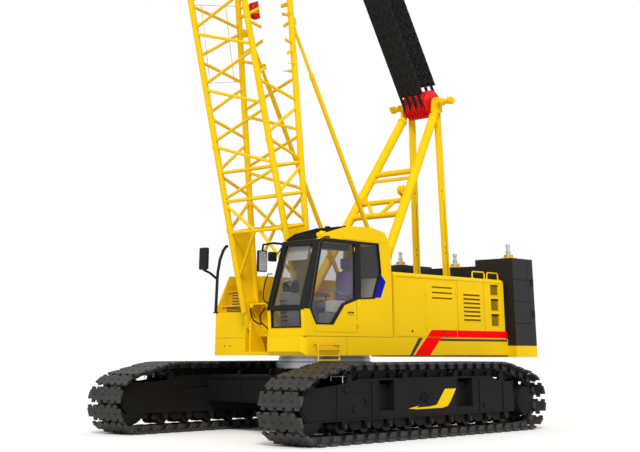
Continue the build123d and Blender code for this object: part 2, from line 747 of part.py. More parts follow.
def make_gantry():
    with BuildPart() as legs:
        for side in (1, -1):
            rod(leg_point(leg_foot_z + 170, side), leg_point(gantry_z - 330, side), leg_radius)
            low = leg_point(leg_foot_z, side)
            high = leg_point(leg_foot_z + 230, side)
            turn = [
                (leg_foot_x + 70, leg_foot_z - 70), (leg_foot_x + 80, leg_foot_z + 60),
                (high[0] + 60, high[2]), (high[0] - 60, high[2]),
                (leg_foot_x - 80, leg_foot_z - 20), (leg_foot_x - 40, leg_foot_z - 75),
            ]
            plate_xz(turn, low[1] - 32, low[1] + 32)
        for level, radius in ((4570, 55), (3970, 48), (3700, 55)):
            rod(leg_point(level, 1), leg_point(level, -1), radius)
        for side in (1, -1):
            start = (leg_point(3970, 1)[0], side * 330, 3970)
            rod(start, (leg_point(3700, 1)[0], side * 80, 3700), 35, 8)
    save(legs.part, "gantry_legs")
    with BuildPart() as head:
        for side in (1, -1):
            top = leg_point(gantry_z - 230, side)
            middle = side * gantry_half
            cheek = [
                (gantry_x - 130, gantry_z - 190), (gantry_x + 20, gantry_z - 215),
                (top[0] + 90, gantry_z - 225),
                (gantry_x + 150, gantry_z + 20), (gantry_x + 60, gantry_z + 110),
                (gantry_x - 60, gantry_z + 110), (gantry_x - 130, gantry_z + 40),
            ]
            plate_xz(cheek, middle - 30, middle + 30)
            rod(leg_point(gantry_z - 330, side), leg_point(gantry_z - 240, side), leg_radius + 14)
            link_inner_face = link_y_top + 28 + 2 * running_gap
            low_y, high_y = sorted((side * link_inner_face, side * gantry_half))
            disc(gantry_x - 80, gantry_z - 120, 38, low_y, high_y, 8)
            for near, far in ((288, gantry_half), (gantry_half, 790)):
                low_y, high_y = sorted((side * near, side * far))
                disc(gantry_x, gantry_z, 55, low_y, high_y)
    save(head.part, "gantry_head")
    with BuildPart() as links:
        for side in (1, -1):
            top = Vector(gantry_x - 80, side * link_y_top, gantry_z - 120)
            low = Vector(link_foot_x, side * link_y_low, link_foot_z)
            along = (top - low).normalized()
            with BuildSketch(Plane(low - along * 70, x_dir=(0, 1, 0), z_dir=along)):
                Rectangle(56, 165)
            extrude(amount=(top - low).length + 122)
    save(links.part, "gantry_links")
    with BuildPart() as sheaves:
        corner = 90 - degrees(falls_angle)
        disc(gantry_x, gantry_z, falls_offset - falls_radius - running_gap, -288, 288, 16, turn=corner)
        for low_y in (-288, -6, 276):
            disc(gantry_x, gantry_z, 275, low_y, low_y + 12, 16, turn=corner)
    save(sheaves.part, "gantry_sheaves")


# ---- boom ---------------------------------------------------------------------------
boom_length = butt_length + insert_length + top_length
along_x = cos(radians(boom_angle))
along_z = sin(radians(boom_angle))
taper_start = boom_length - head_taper
head_half_width = 430.0
sheave_reach = boom_length - 250.0  # hoist sheave axle, along the boom
sheave_depth = 620.0
sheave_radius = 250.0
pendant_depth = -350.0
sheave_pin = 45.0
plate_reach = 1570.0  # end of the side plates, with the lowest frame
lacing_start = 2100.0
end_frame = 60.0  # square frame before each end of a section
head_clear = 1040.0  # last frame before the head
sign_reach = (4060.0, 6200.0)


def spot(reach, depth, y):
    """A point given along the boom, forward of its middle plane, and across."""
    return (
        foot_x + reach * along_x + depth * along_z,
        y,
        foot_z + reach * along_z - depth * along_x,
    )


def half_depth(reach):
    if reach < butt_length:
        return foot_half_depth + (boom_half_depth - foot_half_depth) * reach / butt_length
    if reach > taper_start:
        return boom_half_depth - (boom_half_depth - head_half_depth) * (reach - taper_start) / head_taper
    return boom_half_depth


def half_width(reach):
    if reach > taper_start:
        return boom_half_width - (boom_half_width - head_half_width) * (reach - taper_start) / head_taper
    return boom_half_width


def chord_spot(reach, front, side):
    return spot(reach, front * half_depth(reach), side * half_width(reach))


def chord(low, high, front, side):
    """An eight-sided chord tube with flats facing across and fore and aft."""
    start = Vector(*chord_spot(low, front, side))
    end = Vector(*chord_spot(high, front, side))
    with BuildSketch(Plane(start, x_dir=(0, 1, 0), z_dir=end - start)) as section:
        RegularPolygon(chord_radius, 8, rotation=22.5)
    return extrude(section.sketch, amount=(end - start).length, mode=Mode.PRIVATE)


def boom_plate(points, low_y, high_y, mode=Mode.ADD):
    """A plate whose outline is given along and across the boom, between two Y faces."""
    flat = [(spot(reach, depth, 0)[0], spot(reach, depth, 0)[2]) for reach, depth in points]
    return plate_xz(flat, low_y, high_y, mode)


corners = ((1, 1), (1, -1), (-1, -1), (-1, 1))  # front or rear, left or right


def face_normal(face, reach):
    """Square to the lattice face between two neighbouring chords."""
    first = corners[face]
    second = corners[(face + 1) % 4]
    along = Vector(*chord_spot(reach + 100, *first)) - Vector(*chord_spot(reach, *first))
    across = Vector(*chord_spot(reach, *second)) - Vector(*chord_spot(reach, *first))
    return along.cross(across)


def levels(low, high, count):
    """Evenly spaced places along the boom, both ends among them."""
    return [low + (high - low) * index / count for index in range(count + 1)]


def lattice(stations, frames, leaning=0):
    """Zigzag bars on the four faces between stations, with square frames."""
    bars = []
    for face in range(4):
        first = corners[face]
        second = corners[(face + 1) % 4]
        for index in range(len(stations) - 1):
            low = stations[index] + node_gap
            high = stations[index + 1] - node_gap
            start, end = (first, second) if (index + leaning) % 2 else (second, first)
            normal = face_normal(face, low)
            bars.append(square_bar(chord_spot(low, *start), chord_spot(high, *end), normal))
        for reach in frames:
            normal = face_normal(face, reach)
            bars.append(square_bar(chord_spot(reach, *first), chord_spot(reach, *second), normal))
    return bars


def foot_bracing(low, middle, high):
    """Bars from the middle of the lowest frame up and down to the chords, front and rear."""
    bars = []
    for front in (1, -1):
        for side in (1, -1):
            centre = spot(middle, front * half_depth(middle), side * 60)
            for reach in (low, high - node_gap):
                end = chord_spot(reach, front, side)
                bars.append(square_bar(centre, end, face_normal(0 if front > 0 else 2, middle)))
    # one diagonal on each side face
    for face in (1, 3):
        start = chord_spot(middle + node_gap, *corners[face])
        end = chord_spot(high - node_gap, *corners[(face + 1) % 4])
        bars.append(square_bar(start, end, face_normal(face, middle)))
    return bars


def make_boom():
    foot_start = 230.0
    with BuildPart() as butt:
        for front, side in corners:
            add(chord(foot_start, butt_length, front, side))
        zigzag = [lacing_start + lacing_pitch * index for index in range(9)] + [butt_length - end_frame]
        add(lattice(zigzag, (plate_reach, lacing_start, zigzag[1], butt_length - end_frame)))
        add(foot_bracing(plate_reach / 2, plate_reach, lacing_start))
        beyond = [
            (butt_length, -900), (butt_length + 200, -900),
            (butt_length + 200, 900), (butt_length, 900),
        ]
        boom_plate(beyond, -900, 900, Mode.SUBTRACT)
        for side in (1, -1):
            y = side * boom_half_width
            lug = [(-70, -95), (0, -118), (60, -130), (420, -155), (420, 155), (60, 130), (0, 118), (-70, 95)]
            boom_plate(lug, y - foot_lug / 2, y + foot_lug / 2)
            edge = half_depth(plate_reach)
            boom_plate([(380, -150), (plate_reach, -edge), (plate_reach, edge), (380, 150)], y - 12, y + 12)
            disc(foot_x, foot_z, foot_pin_radius + pin_gap, y - 60, y + 60, 0, Mode.SUBTRACT)
            # backstop bracket between rear chord and the pin behind it
            low_y, high_y = sorted((side * (stop_y + 40), side * (boom_half_width - 25)))
            edge = -half_depth(stop_reach)
            bracket = [
                (stop_reach - 90, edge - 10), (stop_reach + 90, edge + 10),
                (stop_reach + 60, stop_depth - 35), (stop_reach - 60, stop_depth - 35),
            ]
            boom_plate(bracket, low_y, high_y)
            x, _, z = spot(stop_reach, stop_depth, 0)
            low_y, high_y = sorted((side * (stop_y - 45), side * (stop_y + 60)))
            disc(x, z, 25, low_y, high_y, 8)
    save(butt.part, "boom_butt")
    with BuildPart() as insert:
        for front, side in corners:
            add(chord(butt_length, butt_length + insert_length, front, side))
        low = butt_length
        high = butt_length + insert_length
        zigzag = levels(low + end_frame, high - end_frame, round(insert_length / lacing_pitch))
        add(lattice(zigzag, (low + end_frame, high - end_frame)))
    save(insert.part, "boom_insert")
    with BuildPart() as top:
        low = butt_length + insert_length
        for front, side in corners:
            add(chord(low, taper_start, front, side))
            add(chord(taper_start - 1, boom_length - 150, front, side))
        bays = round((taper_start - low) / lacing_pitch)
        add(lattice(levels(low + end_frame, taper_start, bays), (low + end_frame, taper_start)))
        add(lattice(levels(taper_start, boom_length - head_clear, 5), (boom_length - head_clear,), bays))
        for side in (1, -1):
            low_y, high_y = sorted((side * (head_half_width - 10), side * (head_half_width + 20)))
            cheek = [
                (boom_length - 1000, -half_depth(boom_length - 1000)), (boom_length - 200, -310),
                (boom_length - 60, -415), (boom_length + 45, -415), (boom_length + 80, -330),
                (boom_length + 60, -90), (boom_length - 60, 300), (sheave_reach + 90, sheave_depth + 20),
                (sheave_reach + 20, sheave_depth + 90), (sheave_reach - 80, sheave_depth + 40),
                (boom_length - 1000, half_depth(boom_length - 1000)),
            ]
            boom_plate(cheek, low_y, high_y)
        x, _, z = spot(boom_length, pendant_depth, 0)
        disc(x, z, 45, -head_half_width - 19, head_half_width + 19)
        x, _, z = spot(sheave_reach, sheave_depth, 0)
        for side in (1, -1):
            low_y, high_y = sorted((side * 300, side * (head_half_width + 60)))
            disc(x, z, sheave_pin, low_y, high_y)
    save(top.part, "boom_top")
    with BuildPart() as sheaves:
        x, _, z = spot(sheave_reach, sheave_depth, 0)
        for y in (-240, -80, 80, 240):
            disc(x, z, sheave_radius, y - 28, y + 28, 16)
        disc(x, z, 90, -300, 300, 8)
    save(sheaves.part, "head_sheaves")
    with BuildPart() as sign:
        y = boom_half_width + chord_radius * cos(pi / 8)
        low, high = sign_reach
        rear = [(low, 45 - half_depth(low)), (high, 45 - half_depth(high))]
        face = rear + [(high, 520), (low, half_depth(low) - 20)]
        boom_plate(face, y, y + 8)
    save(sign.part, "sign_plate")


make_boom()


# ---- luffing falls, pendants and backstops -------------------------------------------
head_x, _, head_z = spot(boom_length, pendant_depth, 0)
falls_angle = atan2(head_z - gantry_z, head_x - gantry_x)
falls_reach = hypot(head_z - gantry_z, head_x - gantry_x)


def along_falls(reach, offset, y):
    """A point along the line from the gantry axle to the boom head's pendant pin."""
    return (
        gantry_x + reach * cos(falls_angle) - offset * sin(falls_angle),
        y,
        gantry_z + reach * sin(falls_angle) + offset * cos(falls_angle),
    )


make_gantry()


def falls_plate(points, low_y, high_y, mode=Mode.ADD):
    flat = [(along_falls(reach, offset, 0)[0], along_falls(reach, offset, 0)[2]) for reach, offset in points]
    return plate_xz(flat, low_y, high_y, mode)


def make_falls():
    tail = falls_length - 90
    with BuildPart() as falls:
        for index in range(4):
            y = -262.5 + index * 150
            for offset in (falls_offset, -falls_offset):
                add(bar(along_falls(0, offset, y), along_falls(tail, offset, y), falls_radius))
    save(falls.part, "luffing_falls_fixed")
    with BuildPart() as falls:
        for index in range(4):
            y = -187.5 + index * 150
            for offset in (falls_offset, -falls_offset):
                add(bar(along_falls(300, offset, y), along_falls(falls_length, offset, y), falls_radius))
    save(falls.part, "luffing_falls_sliding")
    x, _, z = along_falls(falls_length, 0, 0)
    with BuildPart() as spreader:
        corner = 90 - degrees(falls_angle)
        disc(x, z, falls_offset - falls_radius - running_gap, -300, 300, 16, turn=corner)
        for side in (1, -1):
            low_y, high_y = sorted((side * 300, side * 312))
            disc(x, z, 275, low_y, high_y, 16, turn=corner)
            low_y, high_y = sorted((side * 312, side * 342))
            cheek = [
                (falls_length - 110, -70), (falls_length - 110, 70), (falls_length + 60, 110),
                (falls_length + 520, 60), (falls_length + 520, -60), (falls_length + 60, -110),
            ]
            falls_plate(cheek, low_y, high_y)
        for low_y in (-360, 342):
            disc(x, z, 60, low_y, low_y + 18, 8)
        x, _, z = along_falls(falls_length + 420, 0, 0)
        disc(x, z, 38, -342, 342)
    save(spreader.part, "spreader")
    with BuildPart() as pendants:
        eye = head_half_width + 20 + running_gap
        for side in (1, -1):
            start = along_falls(falls_length + 520, 0, side * 355)
            rod(start, along_falls(falls_reach - 120, 0, side * (eye + 22)), 20, 8)
            low_y, high_y = sorted((side * eye, side * (eye + 44)))
            disc(head_x, head_z, 66, low_y, high_y)
            socket = [(falls_reach - 260, -25), (falls_reach - 260, 25)]
            socket += [(falls_reach, 48), (falls_reach, -48)]
            falls_plate(socket, low_y, high_y)
            low_y, high_y = sorted((side * 342.5, side * 372))
            strap = [
                (falls_length + 350, -60), (falls_length + 350, 60),
                (falls_length + 640, 35), (falls_length + 640, -35),
            ]
            falls_plate(strap, low_y, high_y)
    save(pendants.part, "pendants")


make_falls()

stop_x, _, stop_z = spot(stop_reach, stop_depth, 0)
stop_angle = atan2(stop_z - stop_foot_z, stop_x - stop_foot_x)
stop_length = hypot(stop_z - stop_foot_z, stop_x - stop_foot_x)
stop_tube = 42.0
stop_rod = 30.0
stop_bore = stop_rod + running_gap
rod_end_gap = 14.0  # the rod's end swings past its pin as the boom luffs


def along_stop(reach, offset, y):
    return (
        stop_foot_x + reach * cos(stop_angle) - offset * sin(stop_angle),
        y,
        stop_foot_z + reach * sin(stop_angle) + offset * cos(stop_angle),
    )


def make_backstops():
    mouth = 4250.0
    with BuildPart() as sleeves:
        for side in (1, -1):
            y = side * stop_y
            rod(along_stop(40, 0, y), along_stop(mouth, 0, y), stop_tube)
            disc(stop_foot_x, stop_foot_z, 62, y - 48 + running_gap, y + 48 - running_gap)
            rod(along_stop(2200, 0, y), along_stop(mouth + 5, 0, y), stop_bore, 16, Mode.SUBTRACT)
    save(sleeves.part, "backstop_sleeves")
    with BuildPart() as rods:
        for side in (1, -1):
            y = side * stop_y
            rod(along_stop(2260, 0, y), along_stop(stop_length - 90, 0, y), stop_rod, 16)
            rod(along_stop(stop_length - 110, 0, y), along_stop(stop_length - 25 - rod_end_gap, 0, y), 36)
    save(rods.part, "backstop_rods")


make_backstops()


# ---- hoist falls and hook ------------------------------------------------------------
def make_hook():
    axle_x, _, axle_z = spot(sheave_reach, sheave_depth, 0)
    block_z = axle_z - hook_drop
    lay = sheave_radius + 11 + running_gap
    with BuildPart() as falls:
        for y in (-80, 80):
            for side in (1, -1):
                add(bar((axle_x + side * lay, y, block_z), (axle_x + side * lay, y, axle_z), 11))
    save(falls.part, "hoist_falls")
    with BuildPart() as hook_block:
        for y in (-80, 80):
            disc(axle_x, block_z, sheave_radius, y - 26, y + 26, 16)
        for y in (-140, 0, 140):
            outline = [
                (axle_x - 90, block_z + 130), (axle_x + 90, block_z + 130), (axle_x + 230, block_z - 40),
                (axle_x + 120, block_z - 420), (axle_x - 120, block_z - 420), (axle_x - 230, block_z - 40),
            ]
            plate_xz(outline, y - 22, y + 22)
        disc(axle_x, block_z, 50, -185, 185)
        block((axle_x - 110, -162, block_z - 420), (axle_x + 110, 162, block_z - 300))
    save(hook_block.part, "hook_block")
    with BuildPart() as hook:
        rod((axle_x, 0, block_z - 560), (axle_x, 0, block_z - 420), 48, 8)
        outline = [
            (-60, 0), (60, 0), (90, -110), (150, -230), (165, -330), (120, -440), (10, -500), (-110, -470),
            (-185, -380), (-200, -290), (-165, -280), (-120, -340), (-50, -390), (20, -385),
            (60, -330), (50, -260), (-10, -170), (-60, -90),
        ]
        plate_xz([(axle_x + x, block_z - 540 + z) for x, z in outline], -45, 45)
    save(hook.part, "hook")


make_hook()
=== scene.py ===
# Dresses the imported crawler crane: paint, round tubes, track shoes, cab trim, ropes and small fittings
import json
import math
import bpy
import bmesh
from mathutils import Vector, Matrix


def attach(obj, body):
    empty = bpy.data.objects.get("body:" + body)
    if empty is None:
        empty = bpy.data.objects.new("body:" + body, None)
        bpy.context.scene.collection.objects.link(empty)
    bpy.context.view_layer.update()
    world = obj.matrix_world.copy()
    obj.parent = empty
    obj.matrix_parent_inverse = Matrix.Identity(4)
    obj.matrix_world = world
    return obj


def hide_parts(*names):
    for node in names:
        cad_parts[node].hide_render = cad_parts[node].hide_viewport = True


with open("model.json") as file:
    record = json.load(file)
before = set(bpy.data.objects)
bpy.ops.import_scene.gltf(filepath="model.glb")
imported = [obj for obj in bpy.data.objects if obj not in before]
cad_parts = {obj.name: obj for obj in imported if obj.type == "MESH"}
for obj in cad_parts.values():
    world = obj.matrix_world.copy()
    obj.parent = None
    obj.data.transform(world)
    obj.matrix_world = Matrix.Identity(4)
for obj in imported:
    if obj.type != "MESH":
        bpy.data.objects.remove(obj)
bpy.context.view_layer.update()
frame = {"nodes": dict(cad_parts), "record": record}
nodeBody = {n: b for b, names in frame["record"]["behaviour"]["bodies"].items() for n in names}
nodeSlot = {s["node"]: s["material_slot"] for s in frame["record"]["subparts"]}
print("stage 1: frame loaded,", len(frame["nodes"]), "nodes")


def linkObject(name, data):
    item = bpy.data.objects.new(name, data)
    bpy.context.scene.collection.objects.link(item)
    return item


camLook = {
    "place": (15.616, 14.193, 1.256),
    "pitchUp": 19.30,       # degrees above the horizon
    "heading": -137.527,    # degrees from +X
    "lens": 64.57,
    "shiftY": -0.43,
}
camData = bpy.data.cameras.new("viewCamera")
camObj = linkObject("viewCamera", camData)
camObj.location = camLook["place"]
camObj.rotation_euler = (math.radians(90 + camLook["pitchUp"]), 0, math.radians(camLook["heading"] - 90))
camData.lens = camLook["lens"]
camData.sensor_width = 36
camData.sensor_fit = "HORIZONTAL"
camData.shift_y = camLook["shiftY"]
camData.clip_end = 400
bpy.context.scene.camera = camObj

# finishes, all from nodes
def newMaterial(name):
    mat = bpy.data.materials.new(name)
    mat.use_nodes = True
    tree = mat.node_tree
    tree.nodes.clear()
    out = tree.nodes.new("ShaderNodeOutputMaterial")
    skin = tree.nodes.new("ShaderNodeBsdfPrincipled")
    tree.links.new(skin.outputs[0], out.inputs["Surface"])
    return mat, tree, skin


def setSockets(tree, node, sockets):
    # a socket for a value makes a link, anything else is the input's own value
    for key, value in sockets.items():
        if isinstance(value, bpy.types.NodeSocket):
            tree.links.new(value, node.inputs[key])
        else:
            node.inputs[key].default_value = value


def addNode(tree, kind, sockets, **settings):
    node = tree.nodes.new("ShaderNode" + kind)
    for key, value in settings.items():
        setattr(node, key, value)
    setSockets(tree, node, sockets)
    return node


def objectSpot(tree):
    return addNode(tree, "TexCoord", {}).outputs["Object"]


def addTones(tree, share, dark, pale):
    ramp = addNode(tree, "ValToRGB", {"Fac": share})
    for stop, tone in zip(ramp.color_ramp.elements, (dark, pale)):
        stop.color = [*tone, 1]
    return ramp


def coverWith(tree, under, mask, patches, strength, tone):
    # a second tone where the mask and the patches are both high
    both = addNode(tree, "Math", {0: mask, 1: patches}, operation="MULTIPLY")
    share = addNode(tree, "Math", {0: both.outputs[0], 1: strength}, operation="MULTIPLY", use_clamp=True)
    mixed = addNode(tree, "Mix", {"B": [*tone, 1], "Factor": share.outputs[0], "A": under}, data_type="RGBA")
    return mixed.outputs["Result"]


plainLook = {
    "swing": 0.05, "driftScale": 1.6, "driftFrom": 0.3, "driftTo": 0.7,
    "wear": 0, "wornTone": (0.2, 0.2, 0.2), "wearFrom": 0.56, "wearTo": 0.66, "wearScale": 22,
    "dust": 0, "dustTone": (0.16, 0.13, 0.10), "dustTop": 1.1, "dustScale": 5,
    "grainScale": 60, "grainDepth": 0.002, "roughSwing": 0.05,
    "metal": 0, "coat": 0, "coatRough": 0.15, "shine": 0.5,
}


def makeFinish(name, changes):
    # colour drifts between two tones, dust gathers low down, fine grain in the bump
    look = {**plainLook, **changes}
    mat, tree, skin = newMaterial(name)
    where = objectSpot(tree)
    drift = addNode(tree, "TexNoise", {"Scale": look["driftScale"], "Detail": 4, "Vector": where})
    dark = [c * (1 - look["swing"]) for c in look["colour"]]
    pale = [min(1, c * (1 + look["swing"])) for c in look["colour"]]
    tones = addTones(tree, drift.outputs["Fac"], dark, pale)
    tones.color_ramp.elements[0].position = look["driftFrom"]
    tones.color_ramp.elements[1].position = look["driftTo"]
    last = tones.outputs["Color"]
    if look["wear"]:
        shape = addNode(tree, "NewGeometry", {}).outputs["Pointiness"]
        edge = addNode(tree, "MapRange", {"From Min": look["wearFrom"], "From Max": look["wearTo"], "Value": shape})
        patch = addNode(tree, "TexNoise", {"Scale": look["wearScale"], "Vector": where})
        last = coverWith(tree, last, edge.outputs["Result"], patch.outputs["Fac"], look["wear"], look["wornTone"])
    if look["dust"]:
        height = addNode(tree, "SeparateXYZ", {0: where}).outputs["Z"]
        low = addNode(tree, "MapRange", {"From Min": look["dustTop"], "From Max": 0, "Value": height})
        spots = addNode(tree, "TexNoise", {"Scale": look["dustScale"], "Detail": 8, "Vector": where})
        last = coverWith(tree, last, low.outputs["Result"], spots.outputs["Fac"], look["dust"], look["dustTone"])
    grain = addNode(tree, "TexNoise", {"Scale": look["grainScale"], "Detail": 3, "Vector": where}).outputs["Fac"]
    rough, swing = look["rough"], look["roughSwing"]
    gloss = addNode(tree, "MapRange", {"To Min": rough - swing, "To Max": rough + swing, "Value": grain})
    dent = addNode(tree, "Bump", {"Strength": look["bump"], "Distance": look["grainDepth"], "Height": grain})
    setSockets(tree, skin, {
        "Base Color": last, "Roughness": gloss.outputs["Result"], "Normal": dent.outputs["Normal"],
        "Metallic": look["metal"], "Coat Weight": look["coat"], "Coat Roughness": look["coatRough"],
        "Specular IOR Level": look["shine"],
    })
    return mat


finishLooks = {
    "cranePaint": {"colour": (0.84, 0.535, 0.002), "rough": 0.5, "swing": 0.03, "bump": 0.04, "grainScale": 140,
        "shine": 0.08},
    "boomPaint": {"colour": (0.84, 0.535, 0.002), "rough": 0.48, "swing": 0.04, "bump": 0.05, "grainScale": 120,
        "shine": 0.10},
    "stepPaint": {"colour": (0.74, 0.46, 0.008), "rough": 0.46, "swing": 0.05, "bump": 0.1, "grainScale": 90,
        "shine": 0.2},
    "chassisPaint": {"colour": (0.0055, 0.0055, 0.0055), "rough": 0.6, "shine": 0.12, "swing": 0.12, "bump": 0.12,
        "grainScale": 80, "dust": 0.05, "wear": 0.5, "wornTone": (0.03, 0.03, 0.03)},
    "shoeIron": {"colour": (0.020, 0.020, 0.0195), "rough": 0.55, "shine": 0.28, "swing": 0.16, "driftScale": 3,
        "bump": 0.35, "grainScale": 70, "dust": 0.18, "wear": 1.1, "wornTone": (0.09, 0.09, 0.09)},
    # painted shade: a dark brown-yellow that stands for shade inside slots, between louvre blades, in the ladder
    # recess and on the rear links
    "paintedShadeYellow": {"colour": (0.20, 0.125, 0.006), "rough": 0.7, "swing": 0.15, "bump": 0.1, "shine": 0.1},
    "rollerIron": {"colour": (0.012, 0.012, 0.012), "rough": 0.5, "swing": 0.15, "bump": 0.2, "shine": 0.25},
    "pitBlack": {"colour": (0.004, 0.004, 0.004), "rough": 0.8, "bump": 0.1},
    "ringSteel": {"colour": (0.42, 0.43, 0.45), "rough": 0.3, "swing": 0.1, "metal": 0.9, "bump": 0.08,
        "grainScale": 50},
    "weightPaint": {"colour": (0.0075, 0.0075, 0.008), "rough": 0.5, "swing": 0.1, "bump": 0.12, "grainScale": 45,
        "shine": 0.25},
    "signalRed": {"colour": (0.72, 0.004, 0.005), "rough": 0.38, "swing": 0.06, "bump": 0.05, "coat": 0.1,
        "shine": 0.25},
    "stripeRed": {"colour": (0.99, 0.0, 0.0), "rough": 0.5, "swing": 0.01, "bump": 0.03, "shine": 0.03},
    "stripeGrey": {"colour": (0.045, 0.05, 0.045), "rough": 0.5, "swing": 0.04, "bump": 0.03, "shine": 0.1},
    "blueSticker": {"colour": (0.002, 0.006, 0.40), "rough": 0.5, "swing": 0.04, "bump": 0.03, "shine": 0.08},
    "ropeWire": {"colour": (0.010, 0.010, 0.0095), "rough": 0.6, "swing": 0.3, "driftScale": 40, "bump": 0.5,
        "grainScale": 160, "shine": 0.2},
    "brightSteel": {"colour": (0.62, 0.63, 0.65), "rough": 0.22, "swing": 0.06, "metal": 1.0, "bump": 0.04},
    "postSteel": {"colour": (0.55, 0.56, 0.57), "rough": 0.4, "swing": 0.08, "metal": 0.6, "bump": 0.1},
    "trimBlack": {"colour": (0.008, 0.008, 0.009), "rough": 0.6, "swing": 0.1, "bump": 0.25, "grainScale": 260,
        "shine": 0.18},
    "rubberSeal": {"colour": (0.006, 0.006, 0.006), "rough": 0.7, "swing": 0.1, "bump": 0.3, "grainScale": 300,
        "shine": 0.15},
    "cabGrey": {"colour": (0.20, 0.20, 0.21), "rough": 0.5, "swing": 0.08, "bump": 0.2, "grainScale": 220},
    "cabPale": {"colour": (0.62, 0.61, 0.58), "rough": 0.55, "swing": 0.05, "bump": 0.15, "grainScale": 200},
    "signWhite": {"colour": (0.86, 0.86, 0.86), "rough": 0.35, "swing": 0.02, "bump": 0.04},
    "engineGrey": {"colour": (0.12, 0.13, 0.14), "rough": 0.5, "swing": 0.15, "bump": 0.3, "wear": 0.5},
}
finish = {name: makeFinish(name, look) for name, look in finishLooks.items()}


def makeCabGlass(name, look):
    # lightly tinted pane: mostly see-through, with a clear shine
    mat, tree, skin = newMaterial(name)
    film = addNode(tree, "TexNoise", {"Scale": 2.5, "Vector": objectSpot(tree)}).outputs["Fac"]
    smear = addNode(tree, "MapRange", {"To Min": look["rough"][0], "To Max": look["rough"][1], "Value": film})
    setSockets(tree, skin, {
        "Base Color": addTones(tree, film, look["dark"], look["light"]).outputs["Color"],
        "Roughness": smear.outputs["Result"], "Alpha": look["cover"],
        "Specular IOR Level": look["shine"], "Coat Weight": look["coat"],
    })
    return mat


glassLook = {
    "dark": (0.05, 0.055, 0.055), "light": (0.08, 0.085, 0.085), "cover": 0.20,
    "rough": (0.03, 0.09), "shine": 0.6, "coat": 0.4,
}
for glassName in ("cabGlass", "doorGlass"):
    finish[glassName] = makeCabGlass(glassName, glassLook)


def makeSeatCloth(name, look):
    # woven cloth: two crossing waves for the threads
    mat, tree, skin = newMaterial(name)
    thread = {"Scale": look["threads"], "Distortion": 0.6, "Vector": objectSpot(tree)}
    weave = [addNode(tree, "TexWave", thread, bands_direction=axis).outputs["Fac"] for axis in ("X", "Z")]
    cross = addNode(tree, "Math", {0: weave[0], 1: weave[1]}, operation="MULTIPLY").outputs[0]
    dent = addNode(tree, "Bump", {"Strength": look["bump"], "Distance": 0.001, "Height": cross})
    setSockets(tree, skin, {
        "Base Color": addTones(tree, cross, look["deep"], look["pale"]).outputs["Color"],
        "Normal": dent.outputs["Normal"], "Roughness": look["rough"], "Sheen Weight": look["sheen"],
    })
    return mat


clothLook = {
    "deep": (0.17, 0.12, 0.36), "pale": (0.34, 0.26, 0.58), "threads": 120,
    "bump": 0.4, "rough": 0.85, "sheen": 0.3,
}
finish["seatCloth"] = makeSeatCloth("seatCloth", clothLook)
print("stage 2: finishes made,", len(finish))


def liftPoint(p, axis, h):
    # outlines are 2D: XZ for axis y, XY for axis z, YZ for axis x
    if axis == "y":
        return (p[0], h, p[1])
    if axis == "z":
        return (p[0], p[1], h)
    return (h, p[0], p[1])


def joinRings(bm, rings):
    made = []
    for a, b in zip(rings, rings[1:]):
        for i in range(len(a)):
            j = (i + 1) % len(a)
            made.append(bm.faces.new((a[i], a[j], b[j], b[i])))
    return made


def closeRings(bm, rings, looped=False):
    # skins a row of rings; it either runs back to its start or gets two end caps
    made = joinRings(bm, rings + rings[:1] if looped else rings)
    if not looped:
        made += [bm.faces.new(rings[0]), bm.faces.new(rings[-1])]
    bmesh.ops.recalc_face_normals(bm, faces=made)
    return [v for ring in rings for v in ring]


def addSlab(bm, lowPoints, highPoints):
    lowVerts = [bm.verts.new(p) for p in lowPoints]
    highVerts = [bm.verts.new(p) for p in highPoints]
    made = [bm.faces.new(lowVerts), bm.faces.new(highVerts)] + joinRings(bm, [lowVerts, highVerts])
    bmesh.ops.recalc_face_normals(bm, faces=made)
    return lowVerts + highVerts


def addPrism(bm, outline, axis, low, high):
    return addSlab(bm, [liftPoint(p, axis, low) for p in outline], [liftPoint(p, axis, high) for p in outline])


def addBlock(bm, low, high):
    lx, ly, lz = [min(a, b) for a, b in zip(low, high)]
    hx, hy, hz = [max(a, b) for a, b in zip(low, high)]
    return addPrism(bm, boxOutline(lx, hx, lz, hz), "y", ly, hy)


def crossFrame(along):
    along = along.normalized()
    helper = Vector((0, 0, 1)) if abs(along.z) < 0.9 else Vector((1, 0, 0))
    side = along.cross(helper).normalized()
    return side, side.cross(along).normalized()


def addRing(bm, centre, side, up, radius, sides):
    turns = [2 * math.pi * i / sides for i in range(sides)]
    return [bm.verts.new(centre + (side * math.cos(a) + up * math.sin(a)) * radius) for a in turns]


def addTurned(bm, start, end, profile, sides=32):
    # profile is a list of (distance along, radius); closed at both ends
    start = Vector(start)
    along = (Vector(end) - start).normalized()
    side, up = crossFrame(along)
    return closeRings(bm, [addRing(bm, start + along * far, side, up, radius, sides) for far, radius in profile])


def addRod(bm, start, end, radius, sides=16, endRadius=None):
    length = (Vector(end) - Vector(start)).length
    return addTurned(bm, start, end, [(0, radius), (length, radius if endRadius is None else endRadius)], sides)


def addPipe(bm, points, radius, sides=10, closed=False):
    # round bar along a bent path, with mitred corners
    points = [Vector(p) for p in points]
    count = len(points)
    dirs = []
    for i in range(count):
        before = points[i] - points[i - 1] if (i > 0 or closed) else points[1] - points[0]
        after = points[(i + 1) % count] - points[i] if (i < count - 1 or closed) else points[-1] - points[-2]
        dirs.append((before.normalized() + after.normalized()).normalized())
    side, up = crossFrame(dirs[0])
    rings = []
    for i in range(count):
        if i > 0:
            turn = dirs[i - 1].rotation_difference(dirs[i])
            side = turn @ side
            up = turn @ up
        rings.append(addRing(bm, points[i], side, up, radius, sides))
    return closeRings(bm, rings, closed)


def turnY(bm, x, z, low, high, profile, sides):
    # a turned form on an axle along Y
    return addTurned(bm, (x, low, z), (x, high, z), profile, sides)


def rodY(bm, x, z, low, high, radius, sides):
    return addRod(bm, (x, low, z), (x, high, z), radius, sides)


